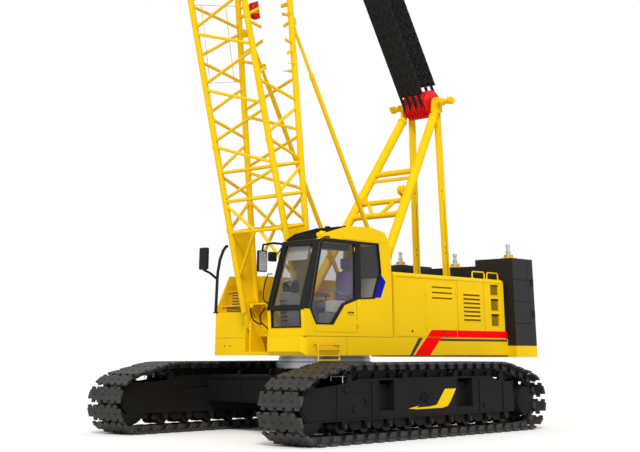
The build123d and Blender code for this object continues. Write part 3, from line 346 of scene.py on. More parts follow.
def addBolt(bm, place, outward, size=0.012):
    # hexagon head with a round washer under it
    place = Vector(place)
    outward = Vector(outward).normalized()
    addRod(bm, place, place + outward * size * 0.35, size * 1.25, 12)
    addRod(bm, place + outward * size * 0.3, place + outward * size, size, 6)


def rounded(points, radius):
    # rounds the corners of a 2D outline
    steps = 4
    out = []
    count = len(points)
    for i in range(count):
        a, b, c = Vector(points[i - 1]), Vector(points[i]), Vector(points[(i + 1) % count])
        toA = a - b
        toC = c - b
        cut = min(radius, toA.length * 0.45, toC.length * 0.45)
        p = b + toA.normalized() * cut
        q = b + toC.normalized() * cut
        for k in range(steps + 1):
            t = k / steps
            out.append(tuple(p * (1 - t) ** 2 + b * 2 * t * (1 - t) + q * t * t))
    return out


def boxOutline(x0, x1, y0, y1):
    return [(x0, y0), (x1, y0), (x1, y1), (x0, y1)]


def wedge(middle, lowHalf, highHalf, low, high):
    return [(middle - lowHalf, low), (middle + lowHalf, low), (middle + highHalf, high), (middle - highHalf, high)]


def softenEdges(bm, width, angle, steps=2):
    bm.edges.ensure_lookup_table()
    sharp = [e for e in bm.edges if e.is_manifold and e.calc_face_angle(0) > math.radians(angle)]
    if sharp and width > 0:
        bmesh.ops.bevel(bm, geom=sharp, offset=width, offset_type="OFFSET", segments=steps, profile=0.6,
            affect="EDGES", clamp_overlap=True)


creaseAngle = 38    # a steeper edge is shaded sharp


def place(name, bm, look, body, slotName=None, bevel=0.0, angle=35, stands=(), steps=2):
    # turns the bmesh into a piece that rides on a body
    if bevel:
        softenEdges(bm, bevel, angle, steps)
    bmesh.ops.remove_doubles(bm, verts=bm.verts, dist=1e-6)
    bm.normal_update()
    for face in bm.faces:
        face.smooth = True
    for edge in bm.edges:
        edge.smooth = not (len(edge.link_faces) == 2 and edge.calc_face_angle(0) > math.radians(creaseAngle))
    mesh = bpy.data.meshes.new(name)
    bm.to_mesh(mesh)
    bm.free()
    piece = linkObject(name, mesh)
    mesh.materials.append(finish[look])
    if bevel:
        even = piece.modifiers.new("evenNormals", "WEIGHTED_NORMAL")
        even.keep_sharp = True
    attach(piece, body)
    if stands:
        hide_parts(*stands)
    return piece


def standIn(name, bm, look, node, **more):
    # a piece that stands for one CAD node, on its body
    return place(name, bm, look, nodeBody[node], nodeSlot[node], stands=(node,), **more)


def dressNode(node, look, bevel=0.004, angle=30, steps=2):
    # a copy of a CAD node with softened edges that stands for it
    bm = bmesh.new()
    bm.from_mesh(frame["nodes"][node].data)
    bmesh.ops.remove_doubles(bm, verts=bm.verts, dist=1e-5)
    bmesh.ops.dissolve_limit(bm, angle_limit=math.radians(1), verts=bm.verts, edges=bm.edges)
    return standIn(node + "Dressed", bm, look, node, bevel=bevel, angle=angle, steps=steps)


def paintNode(node, look):
    data = frame["nodes"][node].data
    data.materials.clear()
    data.materials.append(finish[look])


trackLook = {
    "gauge": 4.0, "width": 0.85, "span": 5.44, "outer": 0.475, "shoeThick": 0.04, "topRun": 1.12, "endCarrier": 1.98,
    "shoes": 52, "linkOuter": 0.45, "linkInner": 0.345,
    "bandWidth": 0.74,      # the narrower bands before and behind the middle of a shoe
    "bandShift": 0.018,
    "notch": 0.064, "notchDeep": 0.036, "notches": 4, "notchPitch": 0.175,
    "pit": 0.011,
    "shoeGap": 0.004, "shoulder": 0.27, "notchShift": 0.044,    # the shoulder is a share of the pitch
    "guideY": 0.13, "hornY": 0.225, "guideHigh": 0.075,
}
rollerLook = {"count": 9, "pitch": 0.52, "radius": 0.108, "flange": 0.124, "carrier": 0.066, "half": 0.238,
    "carriers": (-1.98, -0.66, 0.66, 1.98)}
pitchRadius = (trackLook["linkOuter"] + trackLook["linkInner"]) / 2
tumblerX = trackLook["span"] / 2
carrierPitch = rollerLook["carrier"] + (trackLook["linkOuter"] - trackLook["linkInner"]) / 2
carrierZ = trackLook["topRun"] - (trackLook["outer"] - pitchRadius) - carrierPitch
rollerZ = trackLook["outer"] - trackLook["linkInner"] + rollerLook["radius"]
rampLean = math.atan2(carrierZ - trackLook["outer"], trackLook["endCarrier"] - tumblerX)
centreGap = math.hypot(carrierZ - trackLook["outer"], trackLook["endCarrier"] - tumblerX)
rampLean -= math.acos((pitchRadius - carrierPitch) / centreGap)
rampLength = math.sqrt(centreGap ** 2 - (pitchRadius - carrierPitch) ** 2)
# centre, radius, first normal, turn and the straight after it, anticlockwise from the rear foot
beltTurns = (
    (-tumblerX, trackLook["outer"], pitchRadius, math.pi - rampLean, math.pi / 2 + rampLean, trackLook["span"]),
    (tumblerX, trackLook["outer"], pitchRadius, -math.pi / 2, math.pi / 2 + rampLean, rampLength),
    (trackLook["endCarrier"], carrierZ, carrierPitch, rampLean, math.pi / 2 - rampLean, 2 * trackLook["endCarrier"]),
    (-trackLook["endCarrier"], carrierZ, carrierPitch, math.pi / 2, math.pi / 2 - rampLean, rampLength),
)
loopLength = sum(radius * turn + straight for _, _, radius, _, turn, straight in beltTurns)
shoePitch = loopLength / trackLook["shoes"]


def pinPlace(far):
    # a point on the pitch line, measured from the rear
    far = far % loopLength
    for x, z, radius, first, turn, straight in beltTurns:
        if far < radius * turn:
            angle = first + far / radius
            return x + radius * math.cos(angle), z + radius * math.sin(angle)
        far -= radius * turn
        if far < straight:
            angle = first + turn
            return (x + radius * math.cos(angle) - far * math.sin(angle),
                z + radius * math.sin(angle) + far * math.cos(angle))
        far -= straight
    return pinPlace(0)


def shoeFrame(index, middleY):
    # X along the run, Z outwards from the loop
    ax, az = pinPlace(index * shoePitch)
    bx, bz = pinPlace((index + 1) * shoePitch)
    along = Vector((bx - ax, 0, bz - az)).normalized()
    out = Vector((along.z, 0, -along.x))
    centre = Vector(((ax + bx) / 2, middleY, (az + bz) / 2))
    side = out.cross(along)
    return Matrix.Translation(centre) @ Matrix((along, side, out)).transposed().to_4x4()


def castEdge(x, sign, shift, look):
    # one edge of a shoe with its square notches, from low Y to high Y
    points = []
    half = look["bandWidth"] / 2
    points.append((x, -half + shift))
    for k in range(look["notches"]):
        mid = shift + (k - (look["notches"] - 1) / 2) * look["notchPitch"]
        a, b = mid - look["notch"] / 2, mid + look["notch"] / 2
        inner = x - sign * look["notchDeep"]
        points += boxOutline(x, inner, a, b)
    points.append((x, half + shift))
    return points


def makeShoes(name, middleY, mirror):
    look = trackLook
    top = look["outer"] - pitchRadius
    bottom = top - look["shoeThick"]
    reach = shoePitch / 2 - look["shoeGap"]
    shoulder = shoePitch * look["shoulder"]
    half = look["width"] / 2
    front = castEdge(reach, 1, look["bandShift"] * mirror + look["notchShift"], look)
    back = castEdge(-reach, -1, look["bandShift"] * mirror - look["notchShift"], look)
    outline = [(-shoulder, -half), (shoulder, -half)]
    outline += [(shoulder, front[0][1])] + front + [(shoulder, front[-1][1])]
    outline += [(shoulder, half), (-shoulder, half)]
    outline += [(-shoulder, back[-1][1])] + back[::-1] + [(-shoulder, back[0][1])]
    bm = bmesh.new()
    addPrism(bm, outline, "z", bottom, top - 0.004)
    # guide blocks and the two link bosses on the inner face
    for y in (-look["guideY"], look["guideY"]):
        addBlock(bm, (-reach + 0.01, y - 0.04, bottom - look["guideHigh"]), (reach - 0.01, y + 0.04, bottom + 0.002))
        rodY(bm, reach - 0.005, -0.01, y - 0.055, y + 0.055, 0.032, 12)
    for y in (-look["hornY"], look["hornY"]):
        addPrism(bm, wedge(0, 0.05, 0.075, bottom - look["guideHigh"], bottom + 0.002), "y", y - 0.022, y + 0.022)
    softenEdges(bm, 0.004, 40, 1)
    layShoes(bm, middleY)
    standIn(name, bm, "shoeIron", "track_left" if mirror > 0 else "track_right")


def layShoes(bm, middleY):
    # what was made for one shoe is repeated round the loop
    one = bpy.data.meshes.new("oneShoe")
    bm.to_mesh(one)
    bm.clear()
    for index in range(trackLook["shoes"]):
        start = len(bm.verts)
        bm.from_mesh(one)
        bm.verts.ensure_lookup_table()
        bmesh.ops.transform(bm, matrix=shoeFrame(index, middleY), verts=bm.verts[start:])
    bpy.data.meshes.remove(one)


def makeShoePits(name, middleY, mirror):
    # drain holes and bolt wells on the faces of the shoes, drawn as thin black patches of painted shade
    look = trackLook
    top = look["outer"] - pitchRadius - 0.0035
    bm = bmesh.new()
    for k in range(4):
        y = (k - 1.5) * 0.18 + 0.04 * mirror
        addBlock(bm, (-0.024, y - 0.030, top - 0.002), (0.016, y + 0.030, top + 0.0012))
    for k in range(5):
        y = (k - 2) * 0.172
        addRod(bm, (0.052, y, top - 0.002), (0.052, y, top + 0.0012), look["pit"], 8)
    layShoes(bm, middleY)
    place(name, bm, "pitBlack", "base", "track_steel")


for side, word in ((1, "Left"), (-1, "Right")):
    middle = side * trackLook["gauge"] / 2
    makeShoes("shoes" + word, middle, side)
    makeShoePits("shoePits" + word, middle, side)


def makeRollers():
    look = rollerLook
    bm = bmesh.new()
    for side in (1, -1):
        middle = side * trackLook["gauge"] / 2
        for index in range(look["count"]):
            x = (index - (look["count"] - 1) / 2) * look["pitch"]
            r = look["radius"] - 0.001
            profile = [(0, 0.055), (0.02, 0.055), (0.022, r - 0.012), (0.034, r), (0.15, r),
                (0.16, look["flange"] - 0.02), (0.19, look["flange"] - 0.02), (0.20, 0.07), (0.276, 0.07),
                (0.286, look["flange"] - 0.02), (0.316, look["flange"] - 0.02), (0.326, r), (0.442, r),
                (0.454, r - 0.012), (0.456, 0.055), (0.476, 0.055)]
            turnY(bm, x, rollerZ, middle - look["half"], middle + look["half"], profile, 24)
            for face in (1, -1):
                y = middle + face * 0.30
                rodY(bm, x, rollerZ, y - face * 0.01, y + face * 0.012, 0.036, 16)
                for k in range(3):
                    a = k * 2.094 + 0.5
                    rodY(bm, x + 0.02 * math.cos(a), rollerZ + 0.02 * math.sin(a), y, y + face * 0.017, 0.006, 6)
        for x in look["carriers"]:
            r = look["carrier"] - 0.001
            profile = [(0, 0.03), (0.02, 0.03), (0.022, r), (0.16, r), (0.17, r), (0.2, 0.045), (0.276, 0.045),
                (0.316, r), (0.454, r), (0.456, 0.03), (0.476, 0.03)]
            turnY(bm, x, carrierZ, middle - look["half"], middle + look["half"], profile, 20)
    standIn("rollersRound", bm, "rollerIron", "track_rollers")


def makeTumblers():
    bm = bmesh.new()
    r = trackLook["linkInner"] - 0.002
    for side in (1, -1):
        middle = side * trackLook["gauge"] / 2
        x = tumblerX
        z = trackLook["outer"]
        profile = [(0, 0.09), (0.03, 0.09), (0.035, 0.18), (0.06, 0.25), (0.07, r - 0.02), (0.08, r), (0.18, r),
            (0.19, r - 0.045), (0.286, r - 0.045), (0.296, r), (0.396, r), (0.406, r - 0.02), (0.416, 0.25),
            (0.441, 0.18), (0.446, 0.09), (0.476, 0.09)]
        turnY(bm, x, z, middle - rollerLook["half"], middle + rollerLook["half"], profile, 48)
    standIn("idlersRound", bm, "rollerIron", "idlers")
    bm = bmesh.new()
    for side in (1, -1):
        middle = side * trackLook["gauge"] / 2
        x = -tumblerX
        # toothed rim, motor case and its bolted cover
        teeth = 13
        outline = []
        for k in range(teeth):
            a = 2 * math.pi * k / teeth
            for da, rr in ((-0.17, r - 0.045), (-0.09, r - 0.003), (0.09, r - 0.003), (0.17, r - 0.045)):
                outline.append((x + rr * math.cos(a + da), z + rr * math.sin(a + da)))
        addPrism(bm, outline, "y", middle - 0.055, middle + 0.055)
        inner = middle - side * 0.28
        outer = middle + side * 0.24
        turnY(bm, x, z, inner, outer, [(0, 0.20), (0.02, 0.24), (0.2, 0.255), (0.44, 0.255), (0.52, 0.23)], 40)
        turnY(bm, x, z, outer, outer + side * 0.05, [(0, 0.225), (0.028, 0.225), (0.036, 0.205), (0.04, 0.12),
            (0.045, 0.11)], 40)
        for k in range(16):
            a = 2 * math.pi * k / 16
            spot = (x + 0.208 * math.cos(a), outer + side * 0.026, z + 0.208 * math.sin(a))
            addBolt(bm, spot, (0, side, 0), 0.012)
        for low in (middle - 0.2, middle + 0.075):
            addBlock(bm, (x, low, z - 0.13), (-2.34, low + 0.125, z + 0.13))
    standIn("drivesRound", bm, "chassisPaint", "final_drives")


makeRollers()
makeTumblers()
print("stage 3: shoes, rollers, idlers and drives made")

frameLook = {
    "skin": 2.30,
    "pads": ((1.86, 0.47, 0.05), (2.31, 0.42, 0.035), (1.60, 0.60, 0.03), (1.60, 0.545, 0.03), (2.06, 0.74, 0.045),
        (-1.45, 0.44, 0.04)),
}


def makeFrameTrim():
    look = frameLook
    for node in ("track_frame_left", "track_frame_right", "carbody"):
        dressNode(node, "chassisPaint", 0.006)
    bm = bmesh.new()
    for side in (1, -1):
        s = side * look["skin"]
        middle = side * trackLook["gauge"] / 2
        # end plate, rib strips and welded pads
        for x, z0, z1 in ((2.26, 0.33, 0.79), (1.46, 0.33, 0.86), (-1.32, 0.33, 0.86), (-2.02, 0.33, 0.78)):
            addBlock(bm, (x - 0.012, s - side * 0.002, z0), (x + 0.012, s + side * 0.012, z1))
        addPrism(bm, [(2.29, 0.34), (2.88, 0.34), (3.00, 0.46), (3.00, 0.62), (2.92, 0.72), (2.29, 0.77)], "y", s,
            s + side * 0.008)
        addBlock(bm, (1.52, s, 0.355), (2.22, s + side * 0.010, 0.375))
        addBlock(bm, (1.52, s, 0.700), (2.0, s + side * 0.010, 0.715))
        for x, z, r in look["pads"]:
            turnY(bm, x, z, s - side * 0.002, s + side * 0.02, [(0, r), (0.014, r), (0.022, r * 0.8)], 20)
        for x0, x1 in ((0.94, 1.31), (-1.12, -0.69)):
            # pocket lining with a carrier roller bracket behind
            addPrism(bm, [(x0 - 0.03, 0.33), (x1 + 0.03, 0.33), (x1 - 0.01, 0.415), (x0 + 0.01, 0.415)], "y",
                s - side * 0.05, s + side * 0.006)
            addBlock(bm, (x0 + 0.03, s - side * 0.02, 0.36), (x1 - 0.03, s + side * 0.012, 0.39))
            for x in (x0, x1):
                addBlock(bm, (x - 0.01, s - side * 0.12, 0.43), (x + 0.01, s + side * 0.008, 0.865))
        # round boss amidships with a pad on each side
        turnY(bm, 0.12, 0.60, s - side * 0.03, s + side * 0.03, [(0, 0.075), (0.05, 0.075), (0.06, 0.06)], 28)
        turnY(bm, 0.12, 0.60, s - side * 0.03, s + side * 0.045, [(0, 0.035), (0.075, 0.03)], 20)
        for dx in (-0.11, 0.11):
            addPrism(bm, wedge(0.12 + dx, 0.05, 0.03, 0.565, 0.63), "y", s, s + side * 0.018)
        for x in (-1.6, -1.2, 0.4, 0.75, 1.55, 1.7):
            addBolt(bm, (x, s, 0.86), (0, side, 0), 0.011)
        # foot rail along the lower edge
        addBlock(bm, (-2.2, s - side * 0.01, 0.318), (2.85, s + side * 0.018, 0.332))
        for x in (-2.3, 2.6):
            addBlock(bm, (x - 0.12, side * 2.02, 0.79), (x + 0.12, side * 2.10, 0.835))
        # skid rails under the upper run
        for a, b in ((-1.86, -0.76), (-0.56, 0.56), (0.76, 1.86)):
            for off in (-0.17, 0.17):
                addBlock(bm, (a, middle + off - 0.03, 0.855), (b, middle + off + 0.03, 1.008))
                for k in range(3):
                    x = a + (b - a) * (k + 0.5) / 3
                    addPrism(bm, wedge(x, 0.05, 0.02, 0.855, 0.965), "y", middle + off - 0.07, middle + off + 0.07)
        # hanger brackets between the track rollers
        for k in range(rollerLook["count"] - 1):
            x = (k - rollerLook["count"] / 2 + 1) * rollerLook["pitch"]
            for off in (-0.235, 0.235):
                addPrism(bm, [(x - 0.135, 0.34), (x + 0.135, 0.34), (x + 0.135, 0.24), (x + 0.05, 0.185),
                    (x - 0.05, 0.185), (x - 0.135, 0.24)], "y", middle + off - 0.03, middle + off + 0.03)
        # grease hose along the inner face
        addPipe(bm, [(1.9, side * 1.70, 0.7), (1.2, side * 1.685, 0.74), (0.6, side * 1.69, 0.70),
            (0.2, side * 1.695, 0.74)], 0.012, 8)
    place("frameTrim", bm, "chassisPaint", "base", "dark_frame", bevel=0.0025, angle=40)
    # bent treads that stand on the front of each frame
    bm = bmesh.new()
    for side in (1, -1):
        for x in (1.95, 2.10):
            addPipe(bm, [(x, side * 2.04, 0.86), (x, side * 2.04, 0.925), (x, side * 2.27, 0.925),
                (x, side * 2.27, 0.84)], 0.009, 8)
        addBlock(bm, (1.93, side * 2.05, 0.925), (2.12, side * 2.26, 0.932))
    place("frameTreads", bm, "postSteel", "base", "dark_frame", bevel=0.002)
    bm = bmesh.new()
    # the painted dash on the outer faces
    for side in (1, -1):
        s = side * (look["skin"] + 0.0015)
        band = [(-0.66, 0.708), (-0.36, 0.708), (-0.13, 0.475), (0.04, 0.455), (0.40, 0.448), (0.33, 0.475),
            (0.60, 0.440), (0.37, 0.425), (-0.28, 0.428), (-0.42, 0.45), (-0.50, 0.52)]
        addPrism(bm, band, "y", s - side * 0.001, s + side * 0.001)
    place("frameDash", bm, "cranePaint", "base", "yellow_paint")


makeFrameTrim()


ringLook = {"bolts": 36, "innerBolts": 0.76, "outerBolts": 0.845, "eyeX": 1.06, "faceX": 1.125}


def makeRing():
    look = ringLook
    bm = bmesh.new()
    profile = [(0, 0.83), (0.006, 0.83), (0.03, 0.828), (0.104, 0.828), (0.11, 0.822)]
    addTurned(bm, (0, 0, 1.0), (0, 0, 1.11), profile, 96)
    standIn("ringLower", bm, "ringSteel", "slew_ring_lower")
    bm = bmesh.new()
    profile = [(0, 0.79), (0.006, 0.795), (0.06, 0.795), (0.07, 0.78), (0.1037, 0.78)]
    addTurned(bm, (0, 0, 1.1103), (0, 0, 1.214), profile, 96)
    for k in range(look["bolts"]):
        a = 2 * math.pi * k / look["bolts"]
        x, y = look["innerBolts"] * math.cos(a), look["innerBolts"] * math.sin(a)
        addRod(bm, (x, y, 1.1105), (x, y, 1.15), 0.016, 6)
    standIn("ringUpper", bm, "ringSteel", "slew_ring_upper")
    bm = bmesh.new()
    for k in range(look["bolts"]):
        a = 2 * math.pi * (k + 0.5) / look["bolts"]
        addBolt(bm, (look["outerBolts"] * math.cos(a), look["outerBolts"] * math.sin(a), 1.0), (0, 0, 1), 0.013)
    # lashing eyes on the cross beams and ribs on their faces
    for front in (1, -1):
        x, face = front * look["eyeX"], front * look["faceX"]
        for y in (-0.22, 0.22):
            turnY(bm, x, 0.955, y - 0.02, y + 0.02, [(0, 0.06), (0.04, 0.06)], 20)
        for z in (0.50, 0.86):
            addBlock(bm, (face, -1.66, z - 0.012), (front * 1.15, 1.66, z + 0.012))
        for y in (-1.5, -0.9, 0.9, 1.5):
            addBlock(bm, (face, y - 0.012, 0.51), (front * 1.145, y + 0.012, 0.85))
    place("chassisFittings", bm, "chassisPaint", "base", "dark_frame", bevel=0.002)


makeRing()
print("stage 4: frames, chassis and slewing ring dressed")

dressPlan = (
    ("decks", "cranePaint", 0.012), ("main_frame", "cranePaint", 0.004),
    ("house_left", "cranePaint", 0.006), ("house_right", "cranePaint", 0.006),
    ("hood_door_front", "cranePaint", 0.005), ("hood_door_rear", "cranePaint", 0.005),
    ("counterweight_tray", "cranePaint", 0.010), ("counterweight_slabs", "weightPaint", 0.012),
    ("engine", "engineGrey", 0.02), ("cab_shell", "cranePaint", 0.008), ("cab_door", "cranePaint", 0.005),
    ("console", "cabGrey", 0.012), ("gantry_links", "cranePaint", 0.004),
)
for node, look, bevel in dressPlan:
    dressNode(node, look, bevel)
paintNode("cab_glass", "cabGlass")
paintNode("door_glass", "doorGlass")
print("stage 5: upper works dressed")

boomLook = {
    "foot": (1.13, 1.715), "angle": 78.9, "butt": 6.5, "insert": 3.0, "top": 6.5,
    "halfWidth": 0.653, "halfDepth": 0.655, "footDepth": 0.125, "headDepth": 0.2, "headWidth": 0.43, "headTaper": 3.6,
    "chord": 0.054, "lacing": 0.028, "nodeGap": 0.05, "pitch": 0.5,
    "plateEnd": 1.57, "lacingStart": 2.10, "endFrame": 0.06, "headClear": 1.04,
    "sheaveAxle": (0.25, 0.62),    # back from the end, and to the front
    "pendantPin": -0.35,
}
boomLength = boomLook["butt"] + boomLook["insert"] + boomLook["top"]
taperStart = boomLength - boomLook["headTaper"]
alongX = math.cos(math.radians(boomLook["angle"]))
alongZ = math.sin(math.radians(boomLook["angle"]))
boomCorners = ((1, 1), (1, -1), (-1, -1), (-1, 1))


def boomSpot(reach, depth, y):
    fx, fz = boomLook["foot"]
    return (fx + reach * alongX + depth * alongZ, y, fz + reach * alongZ - depth * alongX)


def boomDepth(reach):
    look = boomLook
    if reach < look["butt"]:
        return look["footDepth"] + (look["halfDepth"] - look["footDepth"]) * reach / look["butt"]
    if reach > taperStart:
        return look["halfDepth"] - (look["halfDepth"] - look["headDepth"]) * (reach - taperStart) / look["headTaper"]
    return look["halfDepth"]


def boomWidth(reach):
    look = boomLook
    if reach > taperStart:
        return look["halfWidth"] - (look["halfWidth"] - look["headWidth"]) * (reach - taperStart) / look["headTaper"]
    return look["halfWidth"]


headAxle = boomSpot(boomLength - boomLook["sheaveAxle"][0], boomLook["sheaveAxle"][1], 0)
headPoint = boomSpot(boomLength, boomLook["pendantPin"], 0)


def chordSpot(reach, front, side):
    return boomSpot(reach, front * boomDepth(reach), side * boomWidth(reach))


def addBoomPlate(bm, points, lowY, highY):
    return addPrism(bm, [boomSpot(*p, 0)[::2] for p in points], "y", lowY, highY)


def boomLevels(low, high, count):
    return [low + (high - low) * k / count for k in range(count + 1)]


def addLacing(bm, stations, squares, leaning=0):
    gap = boomLook["nodeGap"]
    for face in range(4):
        first = boomCorners[face]
        second = boomCorners[(face + 1) % 4]
        for index in range(len(stations) - 1):
            start, end = (first, second) if (index + leaning) % 2 else (second, first)
            addRod(bm, chordSpot(stations[index] + gap, *start), chordSpot(stations[index + 1] - gap, *end),
                boomLook["lacing"], 14)
        for reach in squares:
            addRod(bm, chordSpot(reach, *first), chordSpot(reach, *second), boomLook["lacing"], 14)


def addFootBracing(bm):
    # bars from the middle of the lowest frame up and down to the chords
    look = boomLook
    middle = look["plateEnd"]
    for front in (1, -1):
        for side in (1, -1):
            centre = boomSpot(middle, front * boomDepth(middle), side * 0.06)
            for reach in (middle / 2, look["lacingStart"] - look["nodeGap"]):
                addRod(bm, centre, chordSpot(reach, front, side), look["lacing"], 14)
    for face in (1, 3):
        addRod(bm, chordSpot(middle + look["nodeGap"], *boomCorners[face]),
            chordSpot(look["lacingStart"] - look["nodeGap"], *boomCorners[(face + 1) % 4]), look["lacing"], 14)


def addSplice(bm, reach, side, front, sign):
    # forked ear and pin where two sections meet
    x, y, z = chordSpot(reach, front, side)
    far, depth = reach + sign * 0.16, front * boomDepth(reach)
    ear = [(reach, depth - 0.05), (far, depth - 0.06), (far, depth + 0.06), (reach, depth + 0.05)]
    addBoomPlate(bm, ear, y - 0.062, y + 0.062)
    rodY(bm, x, z, y - 0.075, y + 0.075, 0.026, 14)


def addChords(bm, low, high):
    for front, side in boomCorners:
        addRod(bm, chordSpot(low, front, side), chordSpot(high, front, side), boomLook["chord"], 24)


def makeBoom():
    look = boomLook
    bm = bmesh.new()
    addChords(bm, 0.23, look["butt"])
    zigzag = [look["lacingStart"] + look["pitch"] * k for k in range(9)] + [look["butt"] - look["endFrame"]]
    addLacing(bm, zigzag, (look["plateEnd"], zigzag[0], zigzag[1], zigzag[-1]))
    addFootBracing(bm)
    for side in (1, -1):
        y = side * look["halfWidth"]
        lug = [(-0.095, -0.10), (0.06, -0.13), (0.42, -0.155), (0.42, 0.155), (0.06, 0.13), (-0.095, 0.10)]
        addBoomPlate(bm, rounded(lug, 0.07), y - 0.04, y + 0.04)
        edge = boomDepth(look["plateEnd"])
        addBoomPlate(bm, [(0.38, -0.15), (look["plateEnd"], -edge), (look["plateEnd"], edge), (0.38, 0.15)],
            y - 0.012, y + 0.012)
        fx, fz = look["foot"]
        turnY(bm, fx, fz, y - 0.048, y + 0.048, [(0, 0.088), (0.096, 0.088)], 32)
        # backstop bracket with its pin
        edge = -boomDepth(5.05)
        low, high = sorted((side * 0.59, side * 0.628))
        addBoomPlate(bm, [(4.96, edge - 0.01), (5.14, edge + 0.01), (5.11, -0.695), (4.99, -0.695)], low, high)
        x, _, z = boomSpot(5.05, -0.66, 0)
        low, high = sorted((side * 0.505, side * 0.61))
        rodY(bm, x, z, low, high, 0.025, 20)
        # small lifting lug on the front chord
        for reach in (1.62, 3.05):
            d = boomDepth(reach) + 0.045
            addBoomPlate(bm, wedge(reach, 0.05, 0.03, d - 0.01, d + 0.035), y - 0.012, y + 0.012)
    standIn("boomButtRound", bm, "boomPaint", "boom_butt")
    bm = bmesh.new()
    low = look["butt"]
    high = low + look["insert"]
    addChords(bm, low, high)
    zigzag = boomLevels(low + look["endFrame"], high - look["endFrame"], round(look["insert"] / look["pitch"]))
    addLacing(bm, zigzag, (zigzag[0], zigzag[-1]))
    standIn("boomInsertRound", bm, "boomPaint", "boom_insert")
    bm = bmesh.new()
    low = high
    for front, side in boomCorners:
        addRod(bm, chordSpot(low, front, side), chordSpot(taperStart, front, side), look["chord"], 24)
        addRod(bm, chordSpot(taperStart - 0.01, front, side), chordSpot(boomLength - 0.15, front, side),
            look["chord"], 24)
    bays = round((taperStart - low) / look["pitch"])
    addLacing(bm, boomLevels(low + look["endFrame"], taperStart, bays), (low + look["endFrame"], taperStart))
    addLacing(bm, boomLevels(taperStart, boomLength - look["headClear"], 5), (boomLength - look["headClear"],), bays)
    end = boomLength
    for side in (1, -1):
        a, b = sorted((side * 0.42, side * 0.45))
        cheek = [(end - 1.0, -boomDepth(end - 1.0)), (end - 0.2, -0.31), (end - 0.06, -0.415), (end + 0.045, -0.415),
            (end + 0.08, -0.33), (end + 0.06, -0.09), (end - 0.06, 0.30), (end - 0.16, 0.64), (end - 0.23, 0.71),
            (end - 0.33, 0.66), (end - 1.0, boomDepth(end - 1.0))]
        addBoomPlate(bm, rounded(cheek, 0.05), a, b)
        for (x, _, z), r in ((headAxle, 0.09), (headPoint, 0.08)):
            turnY(bm, x, z, side * 0.45, side * 0.464, [(0, r), (0.012, r), (0.014, r * 0.9)], 24)
    x, _, z = headPoint
    rodY(bm, x, z, -0.449, 0.449, 0.045, 24)
    x, _, z = headAxle
    for side in (1, -1):
        rodY(bm, x, z, side * 0.30, side * 0.49, 0.045, 24)
    standIn("boomTopRound", bm, "boomPaint", "boom_top")
    bm = bmesh.new()
    for reach in (look["butt"], look["butt"] + look["insert"]):
        for front, side in boomCorners:
            addSplice(bm, reach, side, front, 1)
            addSplice(bm, reach, side, front, -1)
    place("boomSplices", bm, "boomPaint", "boom", "yellow_paint", bevel=0.004)
    # sheaves at the boom head
    bm = bmesh.new()
    x, _, z = headAxle
    for y in (-0.24, -0.08, 0.08, 0.24):
        turnY(bm, x, z, y - 0.028, y + 0.028, [(0, 0.25), (0.008, 0.25), (0.02, 0.226), (0.036, 0.226), (0.048, 0.25),
            (0.056, 0.25)], 56)
    turnY(bm, x, z, -0.3, 0.3, [(0, 0.09), (0.6, 0.09)], 32)
    standIn("headSheavesRound", bm, "signalRed", "head_sheaves")
    print("stage 6: boom made,", boomLength, "m")


makeBoom()

gantryLook = {
    "top": (-2.98, 6.05), "half": 0.39, "foot": (-0.33, 2.05), "footY": 0.79, "leg": 0.085,
    "linkTopY": 0.325, "linkLowY": 0.37,
    "linkTop": (-3.06, 5.93), "linkDrop": 3.98, "linkLean": 0.10,
    "pinReach": 0.79, "sheaves": 8, "sheave": 0.245, "rim": 0.27, "stack": 0.288,
    "cross": ((4.57, 0.055), (3.97, 0.048), (3.70, 0.055)),
    # where each pin stands, its ends and its radius
    "pins": (((-3.16, 1.95), 0.29, 0.45, 0.032), ((-0.33, 2.05), 0.70, 0.88, 0.04), ((-1.19, 2.3), 0.47, 0.63, 0.03)),
}


def legPoint(level, side):
    look = gantryLook
    fx, fz = look["foot"]
    share = (level - fz) / (look["top"][1] - 0.23 - fz)
    return (fx + (look["top"][0] + 0.09 - fx) * share,
        side * (look["footY"] + (look["half"] - look["footY"]) * share), level)


def linkSpot(level):
    # X, and the distance from the middle plane, of a rear link at a level
    look = gantryLook
    x, z = look["linkTop"]
    y = look["linkTopY"] + (look["linkLowY"] - look["linkTopY"]) * (z - level) / look["linkDrop"]
    return x - look["linkLean"] * (z - level) / look["linkDrop"], y


